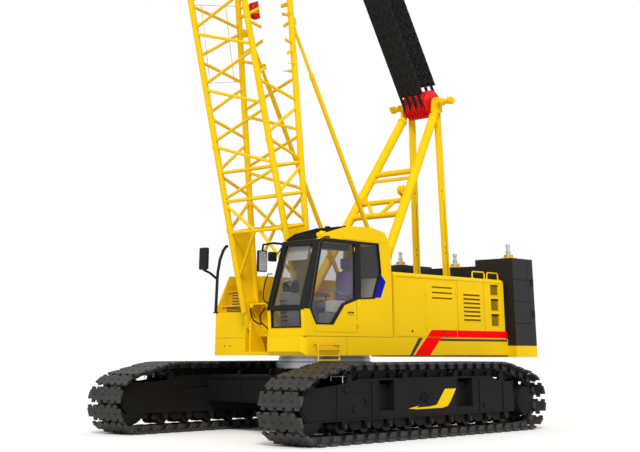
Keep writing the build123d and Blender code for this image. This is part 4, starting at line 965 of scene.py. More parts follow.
def makeGantry():
    look = gantryLook
    gx, gz = look["top"]
    fx, fz = look["foot"]
    bm = bmesh.new()
    for side in (1, -1):
        addRod(bm, legPoint(fz + 0.17, side), legPoint(gz - 0.33, side), look["leg"], 32)
        low = legPoint(fz, side)
        high = legPoint(fz + 0.23, side)
        foot = [(fx + 0.07, fz - 0.07), (fx + 0.08, fz + 0.06), (high[0] + 0.06, high[2]), (high[0] - 0.06, high[2]),
            (fx - 0.08, fz - 0.02), (fx - 0.04, fz - 0.075)]
        addPrism(bm, foot, "y", low[1] - 0.032, low[1] + 0.032)
        # weld collar above the foot
        addRod(bm, legPoint(fz + 0.18, side), legPoint(fz + 0.21, side), look["leg"] + 0.008, 32)
    for level, radius in look["cross"]:
        addRod(bm, legPoint(level, 1), legPoint(level, -1), radius, 24)
    high, low = look["cross"][1][0], look["cross"][2][0]
    for side in (1, -1):
        addRod(bm, (legPoint(high, 1)[0], side * 0.33, high), (legPoint(low, 1)[0], side * 0.08, low), 0.035, 20)
    # channel tie under the upper cross tube
    a = legPoint(4.44, 1)
    addBlock(bm, (a[0] - 0.03, -a[1] + 0.05, 4.40), (a[0] + 0.045, a[1] - 0.05, 4.455))
    standIn("gantryLegsRound", bm, "cranePaint", "gantry_legs")
    bm = bmesh.new()
    for side in (1, -1):
        top = legPoint(gz - 0.23, side)
        middle = side * look["half"]
        cheek = [(gx - 0.13, gz - 0.19), (gx + 0.02, gz - 0.215), (top[0] + 0.09, gz - 0.225), (gx + 0.15, gz + 0.02),
            (gx + 0.06, gz + 0.11), (gx - 0.06, gz + 0.11), (gx - 0.13, gz + 0.04)]
        addPrism(bm, rounded(cheek, 0.035), "y", middle - 0.03, middle + 0.03)
        addRod(bm, legPoint(gz - 0.33, side), legPoint(gz - 0.295, side), look["leg"] + 0.014, 32)
        addRod(bm, legPoint(gz - 0.30, side), legPoint(gz - 0.22, side), look["leg"] + 0.006, 32, look["leg"] - 0.03)
        rodY(bm, gx - 0.08, gz - 0.12, side * 0.354, side * look["half"], 0.038, 20)
        # long axle end with its keeper ears
        rodY(bm, gx, gz, side * look["stack"], side * look["pinReach"], 0.055, 24)
        for y in (0.52, 0.74):
            turnY(bm, gx, gz, side * (y - 0.03), side * (y + 0.03), [(0, 0.075), (0.06, 0.075)], 24)
            for dx in (-0.09, 0.09):
                ear = rounded(wedge(gx + dx, 0.035, 0.03, gz - 0.02, gz + 0.055), 0.01)
                addPrism(bm, ear, "y", side * (y - 0.012), side * (y + 0.012))
        turnY(bm, gx, gz, side * 0.42, side * 0.445, [(0, 0.095), (0.02, 0.095), (0.025, 0.085)], 24)
    standIn("gantryHeadRound", bm, "cranePaint", "gantry_head", bevel=0.003, angle=50)
    # grooved sheaves side by side on the axle
    bm = bmesh.new()
    w = 2 * look["stack"] / look["sheaves"]
    rim, root = look["rim"], look["sheave"]
    profile = [(0, 0.13), (0.002, rim), (w * 0.16, rim + 0.004), (w * 0.3, root - 0.004), (w * 0.5, root - 0.012),
        (w * 0.7, root - 0.004), (w * 0.84, rim + 0.004), (w - 0.002, rim), (w, 0.13)]
    for k in range(look["sheaves"]):
        y = -look["stack"] + k * w
        turnY(bm, gx, gz, y, y + w, profile, 64)
    standIn("gantrySheavesGrooved", bm, "signalRed", "gantry_sheaves")
    # two small pulleys on brackets, and collars where the cross tubes meet the legs
    bm = bmesh.new()
    p = Vector(legPoint(4.16, 1))
    cheek = [(p.x - 0.02, 4.02), (p.x + 0.17, 4.10), (p.x + 0.19, 4.20), (p.x + 0.10, 4.26), (p.x - 0.05, 4.2)]
    for far, near in ((0.07, 0.055), (0.15, 0.135)):
        addPrism(bm, rounded(cheek, 0.03), "y", p.y - far, p.y - near)
    turnY(bm, p.x + 0.11, 4.17, p.y - 0.135, p.y - 0.07, [(0, 0.07), (0.02, 0.055), (0.045, 0.055), (0.065, 0.07)],
        28)
    rodY(bm, p.x + 0.11, 4.17, p.y - 0.16, p.y - 0.045, 0.015, 12)
    p = Vector(legPoint(4.02, -1))
    turnY(bm, p.x + 0.06, 4.02, p.y + 0.05, p.y + 0.16, [(0, 0.08), (0.03, 0.06), (0.08, 0.06), (0.11, 0.08)], 28)
    addPrism(bm, rounded([(p.x - 0.04, 3.93), (p.x + 0.15, 3.96), (p.x + 0.13, 4.09), (p.x - 0.04, 4.12)], 0.03), "y",
        p.y + 0.16, p.y + 0.175)
    for side in (1, -1):
        for level, _ in look["cross"][::-1]:
            p = Vector(legPoint(level, side))
            addRod(bm, (p.x, p.y - side * 0.075, level), (p.x, p.y - side * 0.13, level), 0.068, 24, 0.058)
    place("gantryPulleys", bm, "cranePaint", "upper", "yellow_paint", bevel=0.003, angle=50)
    # painted shade on the rear links: a dark strip down each face, and dark discs for the pin holes
    bm = bmesh.new()
    for side in (1, -1):
        a, b = 2.1, 4.1
        (xa, ya), (xb, yb) = linkSpot(a), linkSpot(b)
        for face in (1, -1):
            off = face * 0.0295
            corners = ((xa - 0.018, ya, a), (xa - 0.004, ya, a), (xb - 0.004, yb, b), (xb - 0.018, yb, b))
            bm.faces.new([bm.verts.new((x, side * y + off, z)) for x, y, z in corners])
        for level in (3.1, 3.2, 4.3):
            x, y = linkSpot(level)
            rodY(bm, x + 0.03, level, side * y - 0.0295, side * y + 0.0295, 0.016, 16)
    place("linkPaintedShade", bm, "paintedShadeYellow", "upper", "yellow_paint")
    bm = bmesh.new()
    for side in (1, -1):
        # pins and washers through the link feet, leg feet and backstop feet
        for (x, z), low, high, radius in look["pins"]:
            rodY(bm, x, z, side * low, side * high, radius, 20)
            turnY(bm, x, z, side * high, side * (high + 0.012), [(0, 0.055), (0.01, 0.055), (0.012, 0.045)], 20)
    place("footPins", bm, "postSteel", "upper", "yellow_paint")


makeGantry()
print("stage 7: gantry made")

fallsLook = {
    "length": 5.2, "offset": 0.2535, "rope": 0.0168, "pitch": 0.0375, "lay": 0.22,
    "fixedFrom": -0.2625, "slidingFrom": -0.1875,    # Y of the first rope of each set
    "fixedShort": 0.09, "slidingStart": 0.30,
}
fallsAngle = math.atan2(headPoint[2] - gantryLook["top"][1], headPoint[0] - gantryLook["top"][0])


def fallsSpot(reach, offset, y):
    c, s = math.cos(fallsAngle), math.sin(fallsAngle)
    return (gantryLook["top"][0] + reach * c - offset * s, y, gantryLook["top"][1] + reach * s + offset * c)


def addStrands(bm, start, end, radius, lay):
    # a laid rope: six lobes that turn slowly along the run
    start = Vector(start)
    end = Vector(end)
    length = (end - start).length
    side, up = crossFrame(end - start)
    along = (end - start).normalized()
    steps = max(8, int(length / lay * 4))
    sides = 12
    rings = []
    for k in range(steps + 1):
        far = length * k / steps
        twist = 2 * math.pi * far / lay / 6
        rings.append([])
        for i in range(sides):
            a = 2 * math.pi * i / sides + twist
            r = radius * (1.0 if i % 2 else 0.86)
            rings[-1].append(bm.verts.new(start + along * far + (side * math.cos(a) + up * math.sin(a)) * r))
    for a, b in zip(rings, rings[1:]):
        for i in range(sides):
            j = (i + 1) % sides
            bm.faces.new((a[i], b[i], b[j], a[j]))
    bm.faces.new(rings[0])
    bm.faces.new(rings[-1][::-1])


def makeFalls():
    # two layers of ropes; every other pair belongs to the spreader and slides past its neighbours
    look = fallsLook
    for name, first, low, high, node in (
        ("fallsFixed", look["fixedFrom"], 0.0, look["length"] - look["fixedShort"], "luffing_falls_fixed"),
        ("fallsSliding", look["slidingFrom"], look["slidingStart"], look["length"], "luffing_falls_sliding"),
    ):
        bm = bmesh.new()
        for k in range(4):
            near = first + k * look["pitch"] * 4
            for y in (near, near + look["pitch"]):
                for offset in (look["offset"], -look["offset"]):
                    addStrands(bm, fallsSpot(low, offset, y), fallsSpot(high, offset, y), look["rope"], look["lay"])
        standIn(name, bm, "ropeWire", node)


makeFalls()


def addRingPlate(bm, outer, inner, axis, low, high):
    # a flat frame between two outlines with the same number of points
    edges = ((outer, low), (outer, high), (inner, high), (inner, low))
    return closeRings(bm, [[bm.verts.new(liftPoint(p, axis, h)) for p in outline] for outline, h in edges], True)


def addPanel(bm, corners, thick):
    # a flat panel in any plane, thickened towards its outer side
    low = [Vector(c) for c in corners]
    normal = (low[1] - low[0]).cross(low[2] - low[0]).normalized()
    addSlab(bm, low, [p + normal * thick for p in low])


def insetOutline(points, gap):
    # each edge moves inwards by the gap; the outline may run either way round
    area = sum(a[0] * b[1] - b[0] * a[1] for a, b in zip(points, points[1:] + points[:1]))
    sign = 1 if area > 0 else -1
    out = []
    for i in range(len(points)):
        a, b, c = Vector(points[i - 1]), Vector(points[i]), Vector(points[(i + 1) % len(points)])
        u = (b - a).normalized()
        w = (c - b).normalized()
        n = (Vector((-u.y, u.x)) + Vector((-w.y, w.x))).normalized() * sign
        out.append(tuple(b + n * gap / max(0.35, n.dot(Vector((-u.y, u.x)) * sign))))
    return out


cabLook = {
    "doorOpening": [(2.03, 1.90), (1.91, 1.69), (1.54, 1.69), (1.27, 1.99), (0.985, 2.075), (0.985, 2.94),
        (1.74, 2.94), (1.785, 2.89)],
    "rearOpening": [(0.86, 2.09), (0.51, 2.11), (0.335, 2.52), (0.39, 2.96), (0.86, 2.96)],
    "side": 1.572, "proud": 0.006,
    "doorGlass": [(2.022, 1.905), (1.905, 1.697), (1.545, 1.697), (1.277, 1.996), (0.995, 2.083), (0.995, 2.932),
        (1.735, 2.932), (1.779, 2.886)],
    "doorBlack": [(2.070, 1.900), (1.925, 1.672), (1.525, 1.672), (1.255, 1.972), (0.9395, 2.062), (0.9395, 2.984),
        (1.744, 2.984), (1.8405, 2.898)],
    "rearGlass": [(0.850, 2.098), (0.515, 2.118), (0.342, 2.520), (0.397, 2.952), (0.850, 2.952)],
    "rearBlack": [(0.9345, 2.070), (0.500, 2.092), (0.318, 2.515), (0.376, 2.984), (0.9345, 2.984)],
    "patch": [(0.345, 2.50), (0.211, 2.372), (0.345, 2.118), (0.512, 2.105), (0.331, 2.515)],
    "screenOuter": boxOutline(0.792, 1.570, 1.885, 2.962),
    "screenInner": boxOutline(0.878, 1.474, 1.955, 2.880),
    "pillarSide": [(2.2045, 1.900), (2.0755, 1.900), (1.8465, 2.900), (1.746, 2.992), (1.60, 2.995), (1.60, 3.020),
        (1.70, 3.018), (1.853, 2.958)],
    "boss": (1.75, 1.515, 3.045), "bossRadius": 0.052,
    "ladder": {"x": (1.958, 1.475), "top": 1.393, "bottom": 1.153, "rungs": (1.372, 1.30, 1.215, 1.147)},
}


def screenX(z):
    return 2.20 - (z - 1.90) * 0.3302 if z > 1.90 else 2.20 - (1.90 - z) * 0.075


def leanOut(verts):
    for v in verts:
        v.co.x += screenX(v.co.z)


def makeCabTrim():
    look = cabLook
    y = look["side"]
    top = y + look["proud"]
    bm = bmesh.new()
    addRingPlate(bm, look["doorBlack"], look["doorGlass"], "y", y, top)
    # lining of the window's edges
    addRingPlate(bm, look["doorOpening"], insetOutline(look["doorOpening"], 0.008), "y", y - 0.046, y + 0.001)
    # covers over the upper hinge
    addRod(bm, (0.935, 1.584, 2.818), (0.935, 1.584, 2.882), 0.0135, 16)
    addBlock(bm, (0.944, y, 2.80), (0.99, y + 0.0165, 2.90))
    place("doorBlackFrame", bm, "trimBlack", "cab_door", "grey_plastic", bevel=0.0015)
    bm = bmesh.new()
    addBlock(bm, (0.885, y, 2.78), (0.927, y + 0.0165, 2.92))
    for low in (2.785, 2.883):
        addRod(bm, (0.935, 1.584, low), (0.935, 1.584, low + 0.033), 0.0135, 16)
    addRingPlate(bm, look["rearBlack"], look["rearGlass"], "y", y, top)
    addRingPlate(bm, look["rearOpening"], insetOutline(look["rearOpening"], 0.008), "y", y - 0.046, y + 0.001)
    leanOut(addRingPlate(bm, look["screenOuter"], look["screenInner"], "x", 0.0, 0.010))
    for z0, z1, z2, z3 in ((1.95, 2.89, 1.959, 2.881), (1.63, 1.88, 1.639, 1.873)):
        leanOut(addRingPlate(bm, boxOutline(0.865, 1.487, z0, z1), boxOutline(0.874, 1.478, z2, z3), "x", -0.050,
            0.002))
    leanOut(addRingPlate(bm, boxOutline(0.856, 1.506, 1.618, 1.885), boxOutline(0.872, 1.488, 1.634, 1.876), "x", 0.0,
        0.004))
    addPrism(bm, look["pillarSide"], "y", y - 0.001, y + 0.004)
    # bead down the outer edge of each front pillar
    for side in (0.788, 1.566):
        addPipe(bm, [(screenX(z) + 0.012, side + 0.004, z) for z in (1.89, 2.3, 2.7, 2.955)], 0.010, 8)
    place("cabBlackFrames", bm, "trimBlack", "upper", "grey_plastic", bevel=0.0015)
    bm = bmesh.new()
    # dark roof light over the front of the roof, with a ribbed face
    roof = ((1.842, 2.9665), (1.64, 3.0725), (1.10, 3.2075))
    for (xa, za), (xb, zb) in zip(roof, roof[1:]):
        addPanel(bm, [(xa, 0.84, za), (xa, 1.49, za), (xb, 1.49, zb), (xb, 0.84, zb)], 0.012)
        steps = 3 if xa > 1.7 else 8
        for k in range(steps):
            t = (k + 0.5) / steps
            x = xa + (xb - xa) * t
            z = za + (zb - za) * t + 0.014
            addBlock(bm, (x - 0.012, 0.86, z - 0.006), (x + 0.012, 1.47, z + 0.006))
        for side in (0.842, 1.468):
            addPanel(bm, [(xa, side, za + 0.012), (xa, side + 0.02, za + 0.012), (xb, side + 0.02, zb + 0.012),
                (xb, side, zb + 0.012)], 0.012)
    # small beacon base behind it
    addTurned(bm, (1.02, 1.0, 3.205), (1.02, 1.0, 3.26), [(0, 0.06), (0.02, 0.06), (0.025, 0.048), (0.05, 0.044)], 24)
    place("roofLightRibs", bm, "rubberSeal", "upper", "grey_plastic", bevel=0.002)
    bm = bmesh.new()
    bx, by, bz = look["boss"]
    r = look["bossRadius"]
    turnY(bm, bx, bz, by, by + 0.055, [(0, r), (0.03, r), (0.042, r * 0.92), (0.05, r * 0.75), (0.055, r * 0.4)], 32)
    addPrism(bm, rounded([(bx - 0.10, bz - 0.055), (bx + 0.05, bz - 0.055), (bx + 0.05, bz + 0.02),
        (bx - 0.10, bz + 0.055)], 0.02), "y", by - 0.05, by + 0.02)
    # rounded rim along the edge of the roof
    addPipe(bm, [(1.66, 1.535, 3.045), (1.40, 1.535, 3.115), (1.10, 1.535, 3.19), (0.80, 1.535, 3.205),
        (0.52, 1.535, 3.21), (0.22, 1.535, 3.155)], 0.026, 12)
    place("roofRim", bm, "cranePaint", "upper", "yellow_paint", bevel=0.004)
    bm = bmesh.new()
    addPrism(bm, look["patch"], "y", y + 0.0002, y + 0.0035)
    place("rearPatch", bm, "blueSticker", "upper", "yellow_paint")
    bm = bmesh.new()
    # panel seams of the cab and of the deck under it
    addBlock(bm, (0.03, y - 0.002, 1.4965), (2.165, y + 0.0012, 1.5015))
    addBlock(bm, (2.1705, 0.80, 1.4965), (2.1722, 1.57, 1.5015))
    for x, z0, z1 in ((0.955, 1.56, 2.05), (1.20, 1.215, 1.495), (0.04, 1.51, 2.95)):
        addBlock(bm, (x - 0.0025, y, z0), (x + 0.0025, y + 0.0012, z1))
    addBlock(bm, (0.12, y, 3.0), (1.30, y + 0.0010, 3.0025))
    place("cabSeams", bm, "pitBlack", "upper", "yellow_paint")
    bm = bmesh.new()
    ladder = look["ladder"]
    for x in ladder["x"]:
        plate = boxOutline(x - 0.035, x + 0.035, ladder["top"] - 0.035, ladder["top"] + 0.04)
        addPrism(bm, rounded(plate, 0.01), "y", y, 1.582)
        addPipe(bm, [(x, 1.575, ladder["top"]), (x, 1.64, ladder["top"] - 0.01), (x, 1.65, ladder["top"] - 0.06),
            (x, 1.66, ladder["bottom"] - 0.02)], 0.013, 10)
        for shift in (-0.02, 0.02):
            addBolt(bm, (x + shift, 1.582, ladder["top"] - shift), (0, 1, 0), 0.008)
    for z in ladder["rungs"]:
        for dy in (0.0, 0.035):
            addRod(bm, (ladder["x"][1], 1.645 + dy * 0.6, z), (ladder["x"][0], 1.645 + dy * 0.6, z), 0.010, 10)
    place("deckLadder", bm, "stepPaint", "upper", "yellow_paint", bevel=0.0015, angle=50)
    bm = bmesh.new()
    # curved handrail outside the far front pillar
    addPipe(bm, [(2.10, 0.787, 2.445), (2.165, 0.755, 2.44), (2.21, 0.742, 2.33), (2.245, 0.738, 2.18),
        (2.25, 0.738, 2.08), (2.225, 0.748, 2.02), (2.18, 0.787, 2.0)], 0.010, 10)
    # door handle
    addPipe(bm, [(1.06, 1.575, 1.86), (1.06, 1.60, 1.865), (1.17, 1.60, 1.865), (1.17, 1.575, 1.86)], 0.008, 8)
    place("cabHandrail", bm, "trimBlack", "upper", "grey_plastic")


def makeCabInside():
    bm = bmesh.new()
    # pale lining of the rear wall, the far wall below its window, and the side console
    addBlock(bm, (0.115, 0.84, 1.56), (0.125, 1.52, 2.44))
    addBlock(bm, (0.20, 0.836, 1.56), (1.95, 0.842, 1.93))
    console = [(1.13, 1.86), (1.48, 1.86), (1.48, 2.03), (1.40, 2.045), (1.14, 2.045)]
    addPrism(bm, rounded(console, 0.025), "y", 1.37, 1.49)
    for y in (0.90, 1.16, 1.42):
        addBlock(bm, (0.125, y - 0.006, 1.60), (0.131, y + 0.006, 2.40))
    place("cabLining", bm, "cabPale", "upper", "grey_plastic", bevel=0.006)
    bm = bmesh.new()
    # dark roof lining, upper rear wall with its blind
    addPrism(bm, [(0.16, 3.035), (0.22, 3.115), (0.53, 3.165), (1.10, 3.145), (1.10, 3.13), (0.54, 3.15),
        (0.235, 3.10), (0.175, 3.03)], "y", 0.84, 1.52)
    addRingPlate(bm, boxOutline(0.84, 1.52, 2.45, 3.04), boxOutline(0.885, 1.477, 2.625, 2.875), "x", 0.116, 0.134)
    addBlock(bm, (0.138, 0.885, 2.62), (0.144, 1.477, 2.88))
    addBlock(bm, (0.30, 0.838, 2.905), (1.76, 0.848, 3.0))
    place("cabRoofLining", bm, "trimBlack", "upper", "grey_plastic", bevel=0.004)
    bm = bmesh.new()
    # storage box under the console, floor mat
    addPrism(bm, boxOutline(1.26, 1.62, 1.56, 1.85), "y", 1.35, 1.50)
    addBlock(bm, (0.16, 0.85, 1.548), (2.03, 1.49, 1.560))
    # levers, armrests and pedals
    for x, y in ((1.42, 0.90), (1.30, 0.90), (1.44, 1.42), (1.30, 1.42)):
        addRod(bm, (x, y, 2.03), (x + 0.015, y, 2.18), 0.009, 10)
        addTurned(bm, (x + 0.015, y, 2.17), (x + 0.02, y, 2.24), [(0, 0.014), (0.02, 0.024), (0.055, 0.026),
            (0.068, 0.016)], 16)
    for y in (0.94, 1.42):
        addPrism(bm, rounded([(0.92, 2.12), (1.24, 2.13), (1.26, 2.165), (1.24, 2.19), (0.92, 2.18)], 0.02), "y",
            y - 0.035, y + 0.035)
        addRod(bm, (0.95, y, 1.95), (1.0, y, 2.13), 0.016, 10)
    for y in (1.10, 1.26):
        addPrism(bm, [(1.72, 1.57), (1.86, 1.66), (1.85, 1.68), (1.71, 1.59)], "y", y - 0.045, y + 0.045)
    place("cabDarkTrim", bm, "cabGrey", "upper", "grey_plastic", bevel=0.004)
    bm = bmesh.new()
    # screen and keys on the console
    screen = [(1.76, 2.16), (1.93, 2.16), (1.95, 2.30), (1.80, 2.36), (1.755, 2.30)]
    addPrism(bm, rounded(screen, 0.02), "y", 0.86, 1.05)
    addRod(bm, (1.84, 0.95, 2.10), (1.84, 0.95, 2.2), 0.02, 12)
    for k in range(6):
        z = 1.72 + 0.06 * k
        addBlock(bm, (1.975 + 0.0008 * k * 6, 0.87, z), (1.99 + 0.0008 * k * 6, 1.01, z + 0.02))
    place("consoleTrim", bm, "trimBlack", "upper", "grey_plastic", bevel=0.004)
    bm = bmesh.new()
    addPanel(bm, [(1.79, 0.86, 2.865), (1.79, 1.30, 2.865), (1.845, 1.30, 2.66), (1.845, 0.86, 2.66)], 0.006)
    rodY(bm, 1.79, 2.868, 0.85, 1.31, 0.009, 12)
    place("sunBlind", bm, "cabPale", "upper", "grey_plastic", bevel=0.002)


seatLook = {
    "middle": 1.181, "voxel": 0.006, "pressure": 4.0, "cap": 0.014, "fill": 0.6,
    "seamY": 0.11, "seamDeep": 0.007, "seamWide": 0.014,
    "cushion": [(0.80, 1.925), (1.27, 1.925), (1.278, 1.965), (1.26, 2.005), (1.12, 2.02), (0.88, 2.01),
        (0.80, 1.985)],
    "back": [(0.745, 2.02), (0.865, 2.025), (0.855, 2.18), (0.805, 2.50), (0.785, 2.545), (0.715, 2.545),
        (0.702, 2.48), (0.72, 2.2)],
    "headrest": [(0.700, 2.57), (0.772, 2.57), (0.782, 2.66), (0.772, 2.745), (0.708, 2.745), (0.696, 2.66)],
}


def swellPad(name, outline, half, crown):
    # a cut block is remeshed, blown up a little as cloth, and its travel capped
    look = seatLook
    bm = bmesh.new()
    sides = 6
    rows = []
    cx = sum(p[0] for p in outline) / len(outline)
    cz = sum(p[1] for p in outline) / len(outline)
    for k in range(sides + 1):
        t = -1 + 2 * k / sides
        pull = 1 - crown * abs(t) ** 4
        spots = [(cx + (x - cx) * pull, look["middle"] + half * t, cz + (z - cz) * pull) for x, z in outline]
        rows.append([bm.verts.new(p) for p in spots])
    closeRings(bm, rows)
    mesh = bpy.data.meshes.new(name)
    bm.to_mesh(mesh)
    bm.free()
    pad = linkObject(name, mesh)
    bpy.context.view_layer.objects.active = pad
    remesh = pad.modifiers.new("even", "REMESH")
    remesh.mode = "VOXEL"
    remesh.voxel_size = look["voxel"]
    bakeModifiers(pad)
    start = [v.co.copy() for v in pad.data.vertices]
    cloth = pad.modifiers.new("swell", "CLOTH")
    cloth.settings.use_pressure = True
    cloth.settings.uniform_pressure_force = look["pressure"]
    cloth.settings.effector_weights.gravity = 0
    for step in range(1, 21):
        bpy.context.scene.frame_set(step)
    bakeModifiers(pad)
    for v, home in zip(pad.data.vertices, start):
        travel = v.co - home
        if travel.length > look["cap"]:
            v.co = home + travel.normalized() * look["cap"]
    bpy.context.scene.frame_set(1)
    smooth = pad.modifiers.new("even", "SMOOTH")
    smooth.factor = 0.5
    smooth.iterations = 6
    fine = pad.modifiers.new("fine", "SUBSURF")
    fine.levels = 1
    bakeModifiers(pad)
    return pad


def bakeModifiers(obj):
    # the modifiers' result becomes the mesh itself
    view = bpy.context.evaluated_depsgraph_get()
    done = bpy.data.meshes.new_from_object(obj.evaluated_get(view))
    obj.modifiers.clear()
    old = obj.data
    obj.data = done
    bpy.data.meshes.remove(old)


def pressSeams(pad, lines, deep, wide):
    # sewn channels: points near each seam line sink towards the pad's middle
    middle = sum((v.co for v in pad.data.vertices), Vector()) / len(pad.data.vertices)
    for v in pad.data.vertices:
        for axis, at in lines:
            off = abs(v.co[axis] - at)
            if off < wide:
                inward = middle - v.co
                inward[axis] = 0
                v.co += inward.normalized() * deep * (1 - off / wide) ** 2


def makeSeat():
    look = seatLook
    pair = ((1, look["middle"] - look["seamY"]), (1, look["middle"] + look["seamY"]))
    seams = {
        "cushion": (0.205, 0.06, (*pair, (0, 1.04))),
        "back": (0.205, 0.10, (*pair, (2, 2.32))),
        "headrest": (0.125, 0.12, ()),
    }
    for part, (half, crown, lines) in seams.items():
        pad = swellPad("seat" + part.capitalize(), look[part], half, crown)
        pressSeams(pad, lines, look["seamDeep"], look["seamWide"])
        for face in pad.data.polygons:
            face.use_smooth = True
        pad.data.materials.clear()
        pad.data.materials.append(finish["seatCloth"])
        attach(pad, "upper")
        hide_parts("seat")
    bm = bmesh.new()
    m = look["middle"]
    addPrism(bm, rounded([(0.78, 1.56), (1.10, 1.56), (1.08, 1.62), (1.04, 1.88), (1.14, 1.90), (0.72, 1.90),
        (0.80, 1.86), (0.80, 1.62)], 0.02), "y", m - 0.15, m + 0.15)
    for y in (m - 0.04, m + 0.04):
        addRod(bm, (0.74, y, 2.50), (0.738, y, 2.62), 0.008, 10)
    addPrism(bm, rounded([(0.69, 2.02), (0.735, 2.0), (0.69, 2.50), (0.675, 2.50)], 0.01), "y", m - 0.17, m + 0.17)
    addPipe(bm, [(0.70, m - 0.18, 1.915), (1.15, m - 0.18, 1.915), (1.15, m + 0.18, 1.915), (0.70, m + 0.18, 1.915)],
        0.012, 8, True)
    place("seatBase", bm, "cabGrey", "upper", "grey_plastic", bevel=0.006, angle=50, stands=("seat",))


makeCabTrim()
makeCabInside()
makeSeat()
print("stage 8: cab trimmed, seat padded")

hoodLook = {
    "side": 1.572,
    "slots": (2.16, 2.25, 2.34), "slotX": (-1.64, -1.05),
    "louvre": (-2.50, -1.96, 1.78, 2.28), "slats": 7,
    "recess": (-3.11, -2.84), "rungs": (1.71, 1.98, 2.25),
    "hoops": ((-2.45, -2.84), (-2.92, -3.28)), "hoopY": 1.45,
}
stripePieces = (
    # name, look, body, outlines in XZ on the left side
    ("stripeDeck", "stripeRed", "upper", [
        [(-0.53, 1.217), (-0.861, 1.499), (-1.287, 1.499), (-0.95, 1.217)],
        [(-0.866, 1.5035), (-0.880, 1.513), (-1.763, 1.513), (-1.763, 1.508), (-1.29, 1.5035)],
        boxOutline(-1.765, -3.345, 1.63, 1.51)]),
    ("stripeDoor", "stripeRed", "hood_door_rear", [[(-0.896, 1.5275), (-0.99, 1.61), (-1.03, 1.63), (-1.754, 1.63),
        (-1.754, 1.519), (-0.896, 1.519)]]),
    ("stripeLower", "stripeGrey", "upper", [
        [(-1.235, 1.45), (-1.275, 1.488), (-3.345, 1.488), (-3.345, 1.45)],
        [(-0.40, 1.217), (-0.65, 1.496), (-0.76, 1.496), (-0.48, 1.217)]]),
)


def makeStripes():
    y = hoodLook["side"]
    for name, look, body, outlines in stripePieces:
        bm = bmesh.new()
        for outline in outlines:
            addPrism(bm, [(max(x, -3.308), z) for x, z in outline], "y", y + 0.0003, y + 0.0022)
        place(name, bm, look, body, "red_paint" if look == "stripeRed" else "grey_plastic")


def makeHoodTrim():
    look = hoodLook
    y = look["side"]
    bm = bmesh.new()
    # louvre panel over the opening, with folded blades
    x0, x1, z0, z1 = look["louvre"]
    addPrism(bm, rounded(boxOutline(x0 - 0.015, x1 + 0.015, z0 - 0.015, z1 + 0.015), 0.02), "y", y + 0.0003,
        y + 0.004)
    step = (z1 - z0) / look["slats"]
    for k in range(look["slats"]):
        low = z0 + step * k + 0.018
        addPrism(bm, [(y + 0.003, low + 0.052), (y + 0.022, low + 0.030), (y + 0.020, low + 0.027),
            (y + 0.003, low + 0.044)], "x", x0 + 0.02, x1 - 0.02)
    # hoop handrails on the roof
    for a, b in look["hoops"]:
        addPipe(bm, [(a, look["hoopY"], 2.545), (a - 0.005, look["hoopY"], 2.65), (a - 0.03, look["hoopY"], 2.672),
            (b + 0.03, look["hoopY"], 2.672), (b + 0.005, look["hoopY"], 2.65), (b, look["hoopY"], 2.545)], 0.013, 10)
        for x in (a, b):
            addTurned(bm, (x, look["hoopY"], 2.549), (x, look["hoopY"], 2.562),
                [(0, 0.03), (0.010, 0.03), (0.013, 0.022)], 16)
    # treads in the ladder recess and the frame round it
    rx0, rx1 = look["recess"]
    for z in look["rungs"]:
        addPrism(bm, [(y - 0.05, z - 0.004), (y + 0.004, z - 0.004), (y + 0.006, z + 0.012), (y - 0.05, z + 0.012)],
            "x", rx0 + 0.002, rx1 - 0.002)
    for x in (rx0 - 0.02, rx1 + 0.02):
        addBlock(bm, (x - 0.006, y, 1.69), (x + 0.006, y + 0.006, 2.47))
    # drip rail over the doors
    addBlock(bm, (-3.25, y, 2.486), (-0.06, y + 0.008, 2.494))
    place("hoodTrim", bm, "cranePaint", "upper", "yellow_paint", bevel=0.0015, angle=45)
    # painted shade: dark yellow sheets between the louvre blades and on the back of the ladder recess above each
    # tread
    bm = bmesh.new()
    for k in range(look["slats"]):
        low = z0 + step * k + 0.018
        addBlock(bm, (x0 + 0.02, y + 0.003, low - 0.004), (x1 - 0.02, y + 0.0048, low + 0.036))
    for z in look["rungs"]:
        addBlock(bm, (rx0 + 0.004, y - 0.038, z + 0.015), (rx1 - 0.004, y - 0.034, z + 0.19))
    place("hoodShade", bm, "paintedShadeYellow", "upper", "grey_plastic")
    bm = bmesh.new()
    # seams of the house panels
    for x in (-1.80, -2.62):
        addBlock(bm, (x - 0.0025, y, 1.52), (x + 0.0025, y + 0.0012, 2.50))
    place("hoodSeams", bm, "pitBlack", "upper", "grey_plastic")
    for word, x0, x1, slots in (("Front", -0.856, -0.049, ()), ("Rear", -1.756, -0.894, look["slots"])):
        body = "hood_door_" + word.lower()
        bm = bmesh.new()
        for z in slots:
            addPrism(bm, [(y + 0.0003, z + 0.024), (y + 0.014, z + 0.016), (y + 0.012, z + 0.010),
                (y + 0.0003, z + 0.014)], "x", look["slotX"][0], look["slotX"][1])
        # folded edge round the door leaf
        addRingPlate(bm, boxOutline(x0 + 0.006, x1 - 0.006, 1.524, 2.458),
            boxOutline(x0 + 0.02, x1 - 0.02, 1.538, 2.444), "y", y, y + 0.0012)
        place("hoodFold" + word, bm, "cranePaint", body, "yellow_paint", bevel=0.0006)
        if slots:
            # painted shade: dark yellow strips inside the door's slots
            bm = bmesh.new()
            a, b = look["slotX"]
            for z in slots:
                addBlock(bm, (a + 0.006, y, z - 0.014), (b - 0.006, y + 0.0012, z + 0.014))
            place("hoodSlotShade", bm, "paintedShadeYellow", body, "grey_plastic")
        bm = bmesh.new()
        lockX = x0 + 0.38
        turnY(bm, lockX, 1.6, y, y + 0.01, [(0, 0.02), (0.006, 0.02), (0.01, 0.014)], 20)
        place("hoodLocks" + word, bm, "pitBlack", body, "grey_plastic")


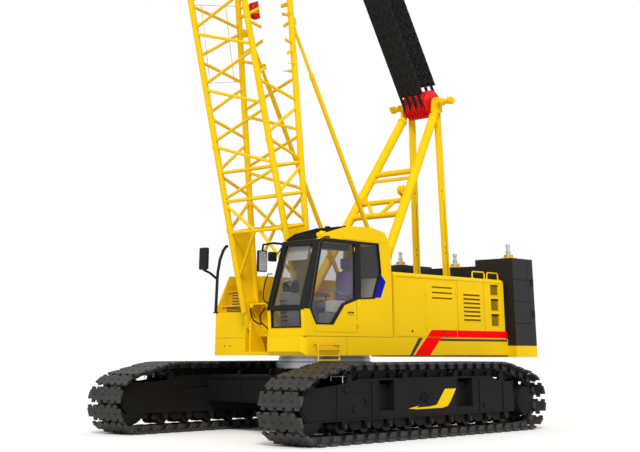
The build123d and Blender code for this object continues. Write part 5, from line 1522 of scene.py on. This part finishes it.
rightLook = {
    "mirror": (1.43, -1.60, 2.84), "post": [(1.15, -1.555, 1.925), (1.134, -1.555, 2.50), (1.125, -1.555, 2.62),
        (1.085, -1.55, 2.84), (1.02, -1.54, 3.0), (0.965, -1.53, 3.075), (0.93, -1.53, 3.08)],
    "steps": ((0.99, 1.925, 2.045), (0.86, 2.053, 2.295)),
}


def makeRightSide():
    look = rightLook
    bm = bmesh.new()
    # two steps with folded treads beside the guard
    for front, low, high in look["steps"]:
        addPrism(bm, boxOutline(0.60, front, low, high), "y", -1.541, -0.93)
        addPrism(bm, [(front - 0.20, high), (front + 0.03, high), (front + 0.03, high - 0.022),
            (front + 0.036, high - 0.022), (front + 0.036, high + 0.008), (front - 0.20, high + 0.008)], "y", -1.54,
            -0.94)
    # closing sheet under the guard's slope
    addPrism(bm, [(0.74, 1.915), (1.122, 1.915), (1.122, 1.985), (0.90, 2.40), (0.74, 2.40)], "y", -1.5415, -1.530)
    place("guardTreads", bm, "stepPaint", "upper", "yellow_paint", bevel=0.002)
    bm = bmesh.new()
    for (front, low, high), count in zip(look["steps"], (4, 5)):
        for k in range(count):
            z = low + 0.02 + (high - low - 0.05) * k / (count - 1)
            addPrism(bm, rounded(boxOutline(-1.44, -1.06, z - 0.006, z + 0.008), 0.005), "x", front - 0.001,
                front + 0.0015)
    # seam of the front box, and its holes as black discs of painted shade
    addBlock(bm, (1.1295, -1.565, 1.497), (1.1312, -0.76, 1.501))
    for y in (-1.328, -1.186):
        addRod(bm, (1.129, y, 1.37), (1.1315, y, 1.37), 0.014, 14)
    place("rightDark", bm, "pitBlack", "upper", "yellow_paint")
    bm = bmesh.new()
    x, y, z = look["mirror"]
    addPrism(bm, rounded(boxOutline(y - 0.10, y + 0.10, z - 0.19, z + 0.19), 0.035), "x", x - 0.03, x + 0.025)
    addPipe(bm, look["post"], 0.027, 12)
    addPipe(bm, [(1.134, -1.555, 2.50), (1.30, -1.575, 2.60), (1.42, -1.60, 2.645), (1.43, -1.60, 2.67)], 0.022, 12)
    addBlock(bm, (1.10, -1.57, 1.915), (1.20, -1.53, 1.935))
    # second mirror and lamp on the far front corner of the cab
    addPipe(bm, [(1.84, 0.795, 2.90), (1.87, 0.757, 2.93), (2.05, 0.752, 2.93), (2.28, 0.752, 2.89),
        (2.295, 0.752, 2.80)], 0.018, 12)
    addPrism(bm, rounded(boxOutline(2.20, 2.40, 2.47, 2.80), 0.03), "y", 0.732, 0.770)
    addPrism(bm, rounded(boxOutline(1.99, 2.15, 2.64, 2.79), 0.03), "y", 0.728, 0.775)
    addPipe(bm, [(1.90, 0.785, 2.86), (1.92, 0.757, 2.80), (2.03, 0.752, 2.73)], 0.010, 8)
    place("mirrors", bm, "trimBlack", "upper", "grey_plastic", bevel=0.004, angle=50)
    bm = bmesh.new()
    addPrism(bm, rounded(boxOutline(y - 0.088, y + 0.088, z - 0.175, z + 0.175), 0.03), "x", x - 0.0335, x - 0.0295)
    addPrism(bm, rounded(boxOutline(2.215, 2.385, 2.485, 2.785), 0.025), "y", 0.7695, 0.7715)
    place("mirrorGlass", bm, "brightSteel", "upper", "glass")
    bm = bmesh.new()
    # shelf plate and knob beside the boom foot
    addBlock(bm, (1.00, -0.585, 1.52), (1.015, -0.20, 2.06))
    addBlock(bm, (0.98, -0.59, 2.055), (1.27, -0.19, 2.067))
    addBlock(bm, (1.262, -0.59, 2.03), (1.27, -0.19, 2.067))
    for yy in (-0.57, -0.21):
        addPrism(bm, [(1.01, 1.70), (1.26, 2.03), (1.26, 2.056), (1.01, 2.056)], "y", yy - 0.006, yy + 0.006)
    addTurned(bm, (1.265, -0.52, 2.0), (1.30, -0.52, 2.0), [(-0.02, 0.03), (0.015, 0.032), (0.03, 0.028),
        (0.04, 0.018)], 24)
    place("footShelf", bm, "cranePaint", "upper", "yellow_paint", bevel=0.003)
    bm = bmesh.new()
    addPipe(bm, [(1.29, -0.52, 1.99), (1.31, -0.51, 1.93), (1.315, -0.48, 1.85), (1.31, -0.43, 1.78),
        (1.29, -0.36, 1.73), (1.25, -0.30, 1.71)], 0.012, 10)
    addPipe(bm, [(1.02, -0.45, 1.98), (1.16, -0.43, 1.86), (1.18, -0.38, 1.74), (1.02, -0.33, 1.62)], 0.012, 8)
    place("footHoses", bm, "rubberSeal", "upper", "grey_plastic")
    print("stage 10: right side fitted")


weightLook = {
    "side": 1.75, "lugs": (1.95, 2.52),
    "postX": -3.85, "posts": ((-1.34, 2.95), (0.06, 2.84), (1.34, 2.95)),
}


def makeWeightTrim():
    look = weightLook
    bm = bmesh.new()
    # upright groove strip and lugs on the outer faces of the slabs
    for side in (1, -1):
        addBlock(bm, (-3.875, side * 1.7495, 1.40), (-3.850, side * 1.7525, 2.92))
        for z in look["lugs"]:
            addPrism(bm, rounded(boxOutline(-4.02, -3.95, z - 0.07, z + 0.07), 0.02), "y", side * look["side"],
                side * (look["side"] + 0.015))
            for dz in (0.03, -0.03):
                addBolt(bm, (-3.985, side * (look["side"] + 0.015), z + dz), (0, side, 0), 0.014)
    place("slabLugs", bm, "pitBlack", "upper", "weight_paint", bevel=0.002, angle=50)
    bm = bmesh.new()
    # bracket plates and bolts round the lifting posts
    for y, low in look["posts"]:
        addPrism(bm, rounded(boxOutline(-3.96, -3.74, y - 0.12, y + 0.12), 0.03), "z", low + 0.030, low + 0.040)
        for near, far in ((y - 0.075, y - 0.06), (y + 0.06, y + 0.075)):
            addPrism(bm, rounded(wedge(look["postX"], 0.07, 0.05, low + 0.04, low + 0.11), 0.02), "y", near, far)
        for dx in (-0.085, 0.085):
            for dy in (-0.095, 0.095):
                addBolt(bm, (look["postX"] + dx, y + dy, low + 0.040), (0, 0, 1), 0.014)
    place("postBrackets", bm, "stepPaint", "upper", "yellow_paint", bevel=0.003, angle=50)
    bm = bmesh.new()
    for y, low in look["posts"]:
        profile = [(0.0, 0.11), (0.028, 0.11), (0.03, 0.044), (0.16, 0.044), (0.165, 0.036), (0.25, 0.036),
            (0.255, 0.046), (0.295, 0.046), (0.305, 0.03)]
        addTurned(bm, (look["postX"], y, low), (look["postX"], y, low + 0.31), profile, 24)
        addBolt(bm, (look["postX"], y, low + 0.15), (0, 0, 1), 0.045)
    standIn("liftingPostsTurned", bm, "postSteel", "lifting_posts")


makeStripes()
makeHoodTrim()
print("stage 9: stripes and hood trim made")
makeRightSide()
makeWeightTrim()

ropesLook = {
    "drums": (("drum_main", 0.33, 1.76, 0.24, 0.33), ("drum_auxiliary", -0.64, 1.76, 0.24, 0.33),
        ("drum_luffing", -2.05, 1.74, 0.22, 0.26)),
    "rope": 0.011, "stopFoot": (-1.19, 2.30), "stopTop": (5.05, -0.66), "stopY": 0.55,
    "rodStart": 2.26, "rodShort": 0.039,
    "hookDrop": 4.6, "sheave": 0.25, "runGap": 0.001,
    "guide": (5.36, -0.36),
    "sign": {"reach": (4.17, 6.19), "depth": (0.29, -0.25), "face": 0.7047, "thick": 0.008,
             "frame": (4.18, 5.58, 0.30, -0.70)},
}


def makeDrums():
    for name, x, z, radius, half in ropesLook["drums"]:
        bm = bmesh.new()
        r = radius - 0.06
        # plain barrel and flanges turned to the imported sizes
        flange = [(0.021, radius - 0.012), (0.026, radius - 0.001), (0.041, radius - 0.001), (0.045, radius - 0.012)]
        flange = [(0, 0.044), (0.02, 0.044), *flange, (0.046, r)]
        far = 2 * half + 0.04
        turnY(bm, x, z, -half - 0.02, half + 0.02, flange + [(far - along, size) for along, size in flange[::-1]], 48)
        standIn(name + "Turned", bm, "signalRed", name)
        bm = bmesh.new()
        # two layers of rope laid side by side
        rope = ropesLook["rope"]
        count = int((2 * half - 0.052) / (2 * rope))
        for layer in (0, 1):
            profile = []
            base = r + rope * (1 + 1.72 * layer)
            for k in range(count - layer):
                middle = 0.026 + rope * (1 + layer) + 2 * rope * k
                for a in (-0.9, -0.45, 0.0, 0.45, 0.9):
                    profile.append((middle + rope * math.sin(a * 1.4), base + rope * math.cos(a * 1.4)))
            profile = [(profile[0][0], r - 0.002)] + profile + [(profile[-1][0], r - 0.002)]
            turnY(bm, x, z, -half, half, profile, 40)
        place(name + "Rope", bm, "ropeWire", nodeBody[name], "rope_steel")


def makeSpreaderAndStays():
    dressNode("spreader", "boomPaint", 0.004)
    dressNode("pendants", "ropeWire", 0.004)
    look = ropesLook
    sx, sz = look["stopFoot"]
    tx, _, tz = boomSpot(look["stopTop"][0], look["stopTop"][1], 0)
    angle = math.atan2(tz - sz, tx - sx)
    length = math.hypot(tz - sz, tx - sx)

    def stopSpot(reach, y):
        return (sx + reach * math.cos(angle), y, sz + reach * math.sin(angle))

    bm = bmesh.new()
    for side in (1, -1):
        y = side * look["stopY"]
        addTurned(bm, stopSpot(0.04, y), stopSpot(4.25, y), [(0, 0.03), (0.02, 0.041), (4.08, 0.041), (4.082, 0.047),
            (4.14, 0.047), (4.142, 0.042), (4.19, 0.042), (4.205, 0.034)], 28)
        turnY(bm, sx, sz, y - 0.042, y + 0.042, [(0, 0.056), (0.004, 0.061), (0.08, 0.061), (0.084, 0.056)], 28)
        for reach in (0.25, 2.15):
            addTurned(bm, stopSpot(reach, y), stopSpot(reach + 0.04, y), [(0, 0.042), (0.003, 0.046), (0.037, 0.046),
                (0.04, 0.042)], 28)
    standIn("backstopSleevesRound", bm, "cranePaint", "backstop_sleeves")
    bm = bmesh.new()
    for side in (1, -1):
        y = side * look["stopY"]
        start, end = look["rodStart"], length - look["rodShort"]
        run = end - start
        profile = [(0, 0.0295), (run - 0.075, 0.0295), (run - 0.07, 0.035), (run - 0.005, 0.035), (run, 0.03)]
        addTurned(bm, stopSpot(start, y), stopSpot(end, y), profile, 24)
    standIn("backstopRodsRound", bm, "boomPaint", "backstop_rods")


def makeHookSet():
    look = ropesLook
    x, _, z = headAxle
    low = z - look["hookDrop"]
    lay = look["sheave"] + look["rope"] + look["runGap"]
    bm = bmesh.new()
    for y in (-0.08, 0.08):
        for side in (1, -1):
            addStrands(bm, (x + side * lay, y, low), (x + side * lay, y, z), look["rope"], fallsLook["lay"])
    standIn("hoistFallsLaid", bm, "ropeWire", "hoist_falls")
    dressNode("hook_block", "boomPaint", 0.008)
    dressNode("hook", "shoeIron", 0.022, 30, 3)
    bm = bmesh.new()
    for y in (-0.166, 0.166):
        side = 1 if y > 0 else -1
        turnY(bm, x, low, y, y + side * 0.014, [(0, 0.085), (0.008, 0.085), (0.014, 0.07)], 32)
        for k in range(3):
            addBolt(bm, (x - 0.07 + 0.07 * k, side * 0.162, low - 0.36), (0, side, 0), 0.014)
    place("blockCaps", bm, "postSteel", "hook", "rod_steel")


def makeBoomTrim():
    look = ropesLook["sign"]
    a, b = look["reach"]
    d0, d1 = look["depth"]
    bm = bmesh.new()
    addBoomPlate(bm, rounded(boxOutline(a, b, d1, d0), 0.03), look["face"], look["face"] + look["thick"])
    standIn("signPlateCut", bm, "signWhite", "sign_plate", bevel=0.001)
    bm = bmesh.new()
    # rails behind the plate, and the open frame on the other side
    for reach in (a + 0.12, (a + b) / 2, b - 0.12):
        p = boomSpot(reach, -boomDepth(reach), 0.66)
        q = boomSpot(reach, boomDepth(reach), 0.66)
        addRod(bm, (p[0], 0.697, p[2]), (q[0], 0.697, q[2]), 0.0065, 8)
    low, high, half, y = look["frame"]
    addPipe(bm, [boomSpot(*p, y) for p in ((low, -half), (low, half), (high, half), (high, -half))], 0.0065, 8, True)
    for reach in (low, high):
        for front in (1, -1):
            p = boomSpot(reach, front * half, y)
            q = boomSpot(reach, front * boomDepth(reach), -0.69)
            addRod(bm, p, q, 0.0065, 8)
    place("signRails", bm, "stepPaint", "boom", "yellow_paint")
    bm = bmesh.new()
    # a pair of guide sheaves on a cross tube inside the boom
    guide, depth = ropesLook["guide"]
    x, _, z = boomSpot(guide, depth, 0)
    profile = [(0, 0.05), (0.004, 0.15), (0.012, 0.158), (0.026, 0.135), (0.034, 0.135), (0.048, 0.158),
        (0.056, 0.15), (0.06, 0.05)]
    for y in (-0.075, 0.015):
        turnY(bm, x, z, y, y + 0.06, profile, 48)
    place("guideSheaves", bm, "signalRed", "boom", "red_paint")
    bm = bmesh.new()
    rodY(bm, x, z, -0.13, 0.13, 0.03, 20)
    for y in (-0.12, 0.12):
        addBoomPlate(bm, rounded([(5.30, -0.42), (5.42, -0.42), (5.44, -0.30), (5.44, -0.62), (5.28, -0.62)], 0.02),
            y - 0.008, y + 0.008)
    p = chordSpot(guide, -1, 1)
    rodY(bm, p[0], p[2], p[1], -p[1], 0.038, 24)
    place("guideBracket", bm, "boomPaint", "boom", "yellow_paint", bevel=0.002, angle=50)


makeDrums()
makeSpreaderAndStays()
makeHookSet()
makeBoomTrim()
print("stage 11: drums, stays, hook and boom fittings made")

stageLook = {
    "floor": (0.86, 0.86, 0.86), "floorRadius": 160, "floorDrop": 0.001,
    "sun": 2.4, "sunAngle": 18, "sunFrom": (0.58, 0.53, 0.66), "sky": 0.62,
}


def makeFloor():
    look = stageLook
    mat, tree, skin = newMaterial("paleFloor")
    cloud = addNode(tree, "TexNoise", {"Scale": 0.3, "Vector": objectSpot(tree)}).outputs["Fac"]
    tone = addTones(tree, cloud, [c * 0.99 for c in look["floor"]], look["floor"]).outputs["Color"]
    seen = addNode(tree, "LightPath", {}).outputs["Is Camera Ray"]
    whiter = addNode(tree, "Mix", {"B": (1, 1, 1, 1), "Factor": seen, "A": tone}, data_type="RGBA")
    setSockets(tree, skin, {"Base Color": whiter.outputs["Result"], "Roughness": 0.9, "Specular IOR Level": 0.1})
    bm = bmesh.new()
    bmesh.ops.create_circle(bm, cap_ends=True, segments=96, radius=look["floorRadius"])
    mesh = bpy.data.meshes.new("floor")
    bm.to_mesh(mesh)
    bm.free()
    mesh.materials.append(mat)
    floor = linkObject("floor", mesh)
    floor.location.z = -look["floorDrop"]


def makeSky():
    # a soft grey light, and white for whatever looks past the machine
    look = stageLook
    sunData = bpy.data.lights.new("keySun", "SUN")
    sunData.energy = look["sun"]
    sunData.angle = math.radians(look["sunAngle"])
    linkObject("keySun", sunData).rotation_euler = Vector(look["sunFrom"]).to_track_quat("Z", "Y").to_euler()
    world = bpy.data.worlds.new("studio")
    bpy.context.scene.world = world
    world.use_nodes = True
    tree = world.node_tree
    tree.nodes.clear()
    soft = addNode(tree, "Background", {"Color": (1, 1, 1, 1), "Strength": look["sky"]})
    white = addNode(tree, "Background", {"Color": (1, 1, 1, 1), "Strength": 1})
    rays = addNode(tree, "LightPath", {}).outputs
    near = addNode(tree, "Math", {0: rays["Is Camera Ray"], 1: rays["Is Glossy Ray"]}, operation="MAXIMUM")
    direct = addNode(tree, "Math", {0: near.outputs[0], 1: rays["Is Transmission Ray"]}, operation="MAXIMUM")
    mix = addNode(tree, "MixShader", {"Fac": direct.outputs[0], 1: soft.outputs[0], 2: white.outputs[0]})
    addNode(tree, "OutputWorld", {"Surface": mix.outputs[0]})
    bpy.context.scene.view_settings.view_transform = "Standard"


makeFloor()
makeSky()
print("stage last: floor, lamp and sky set")
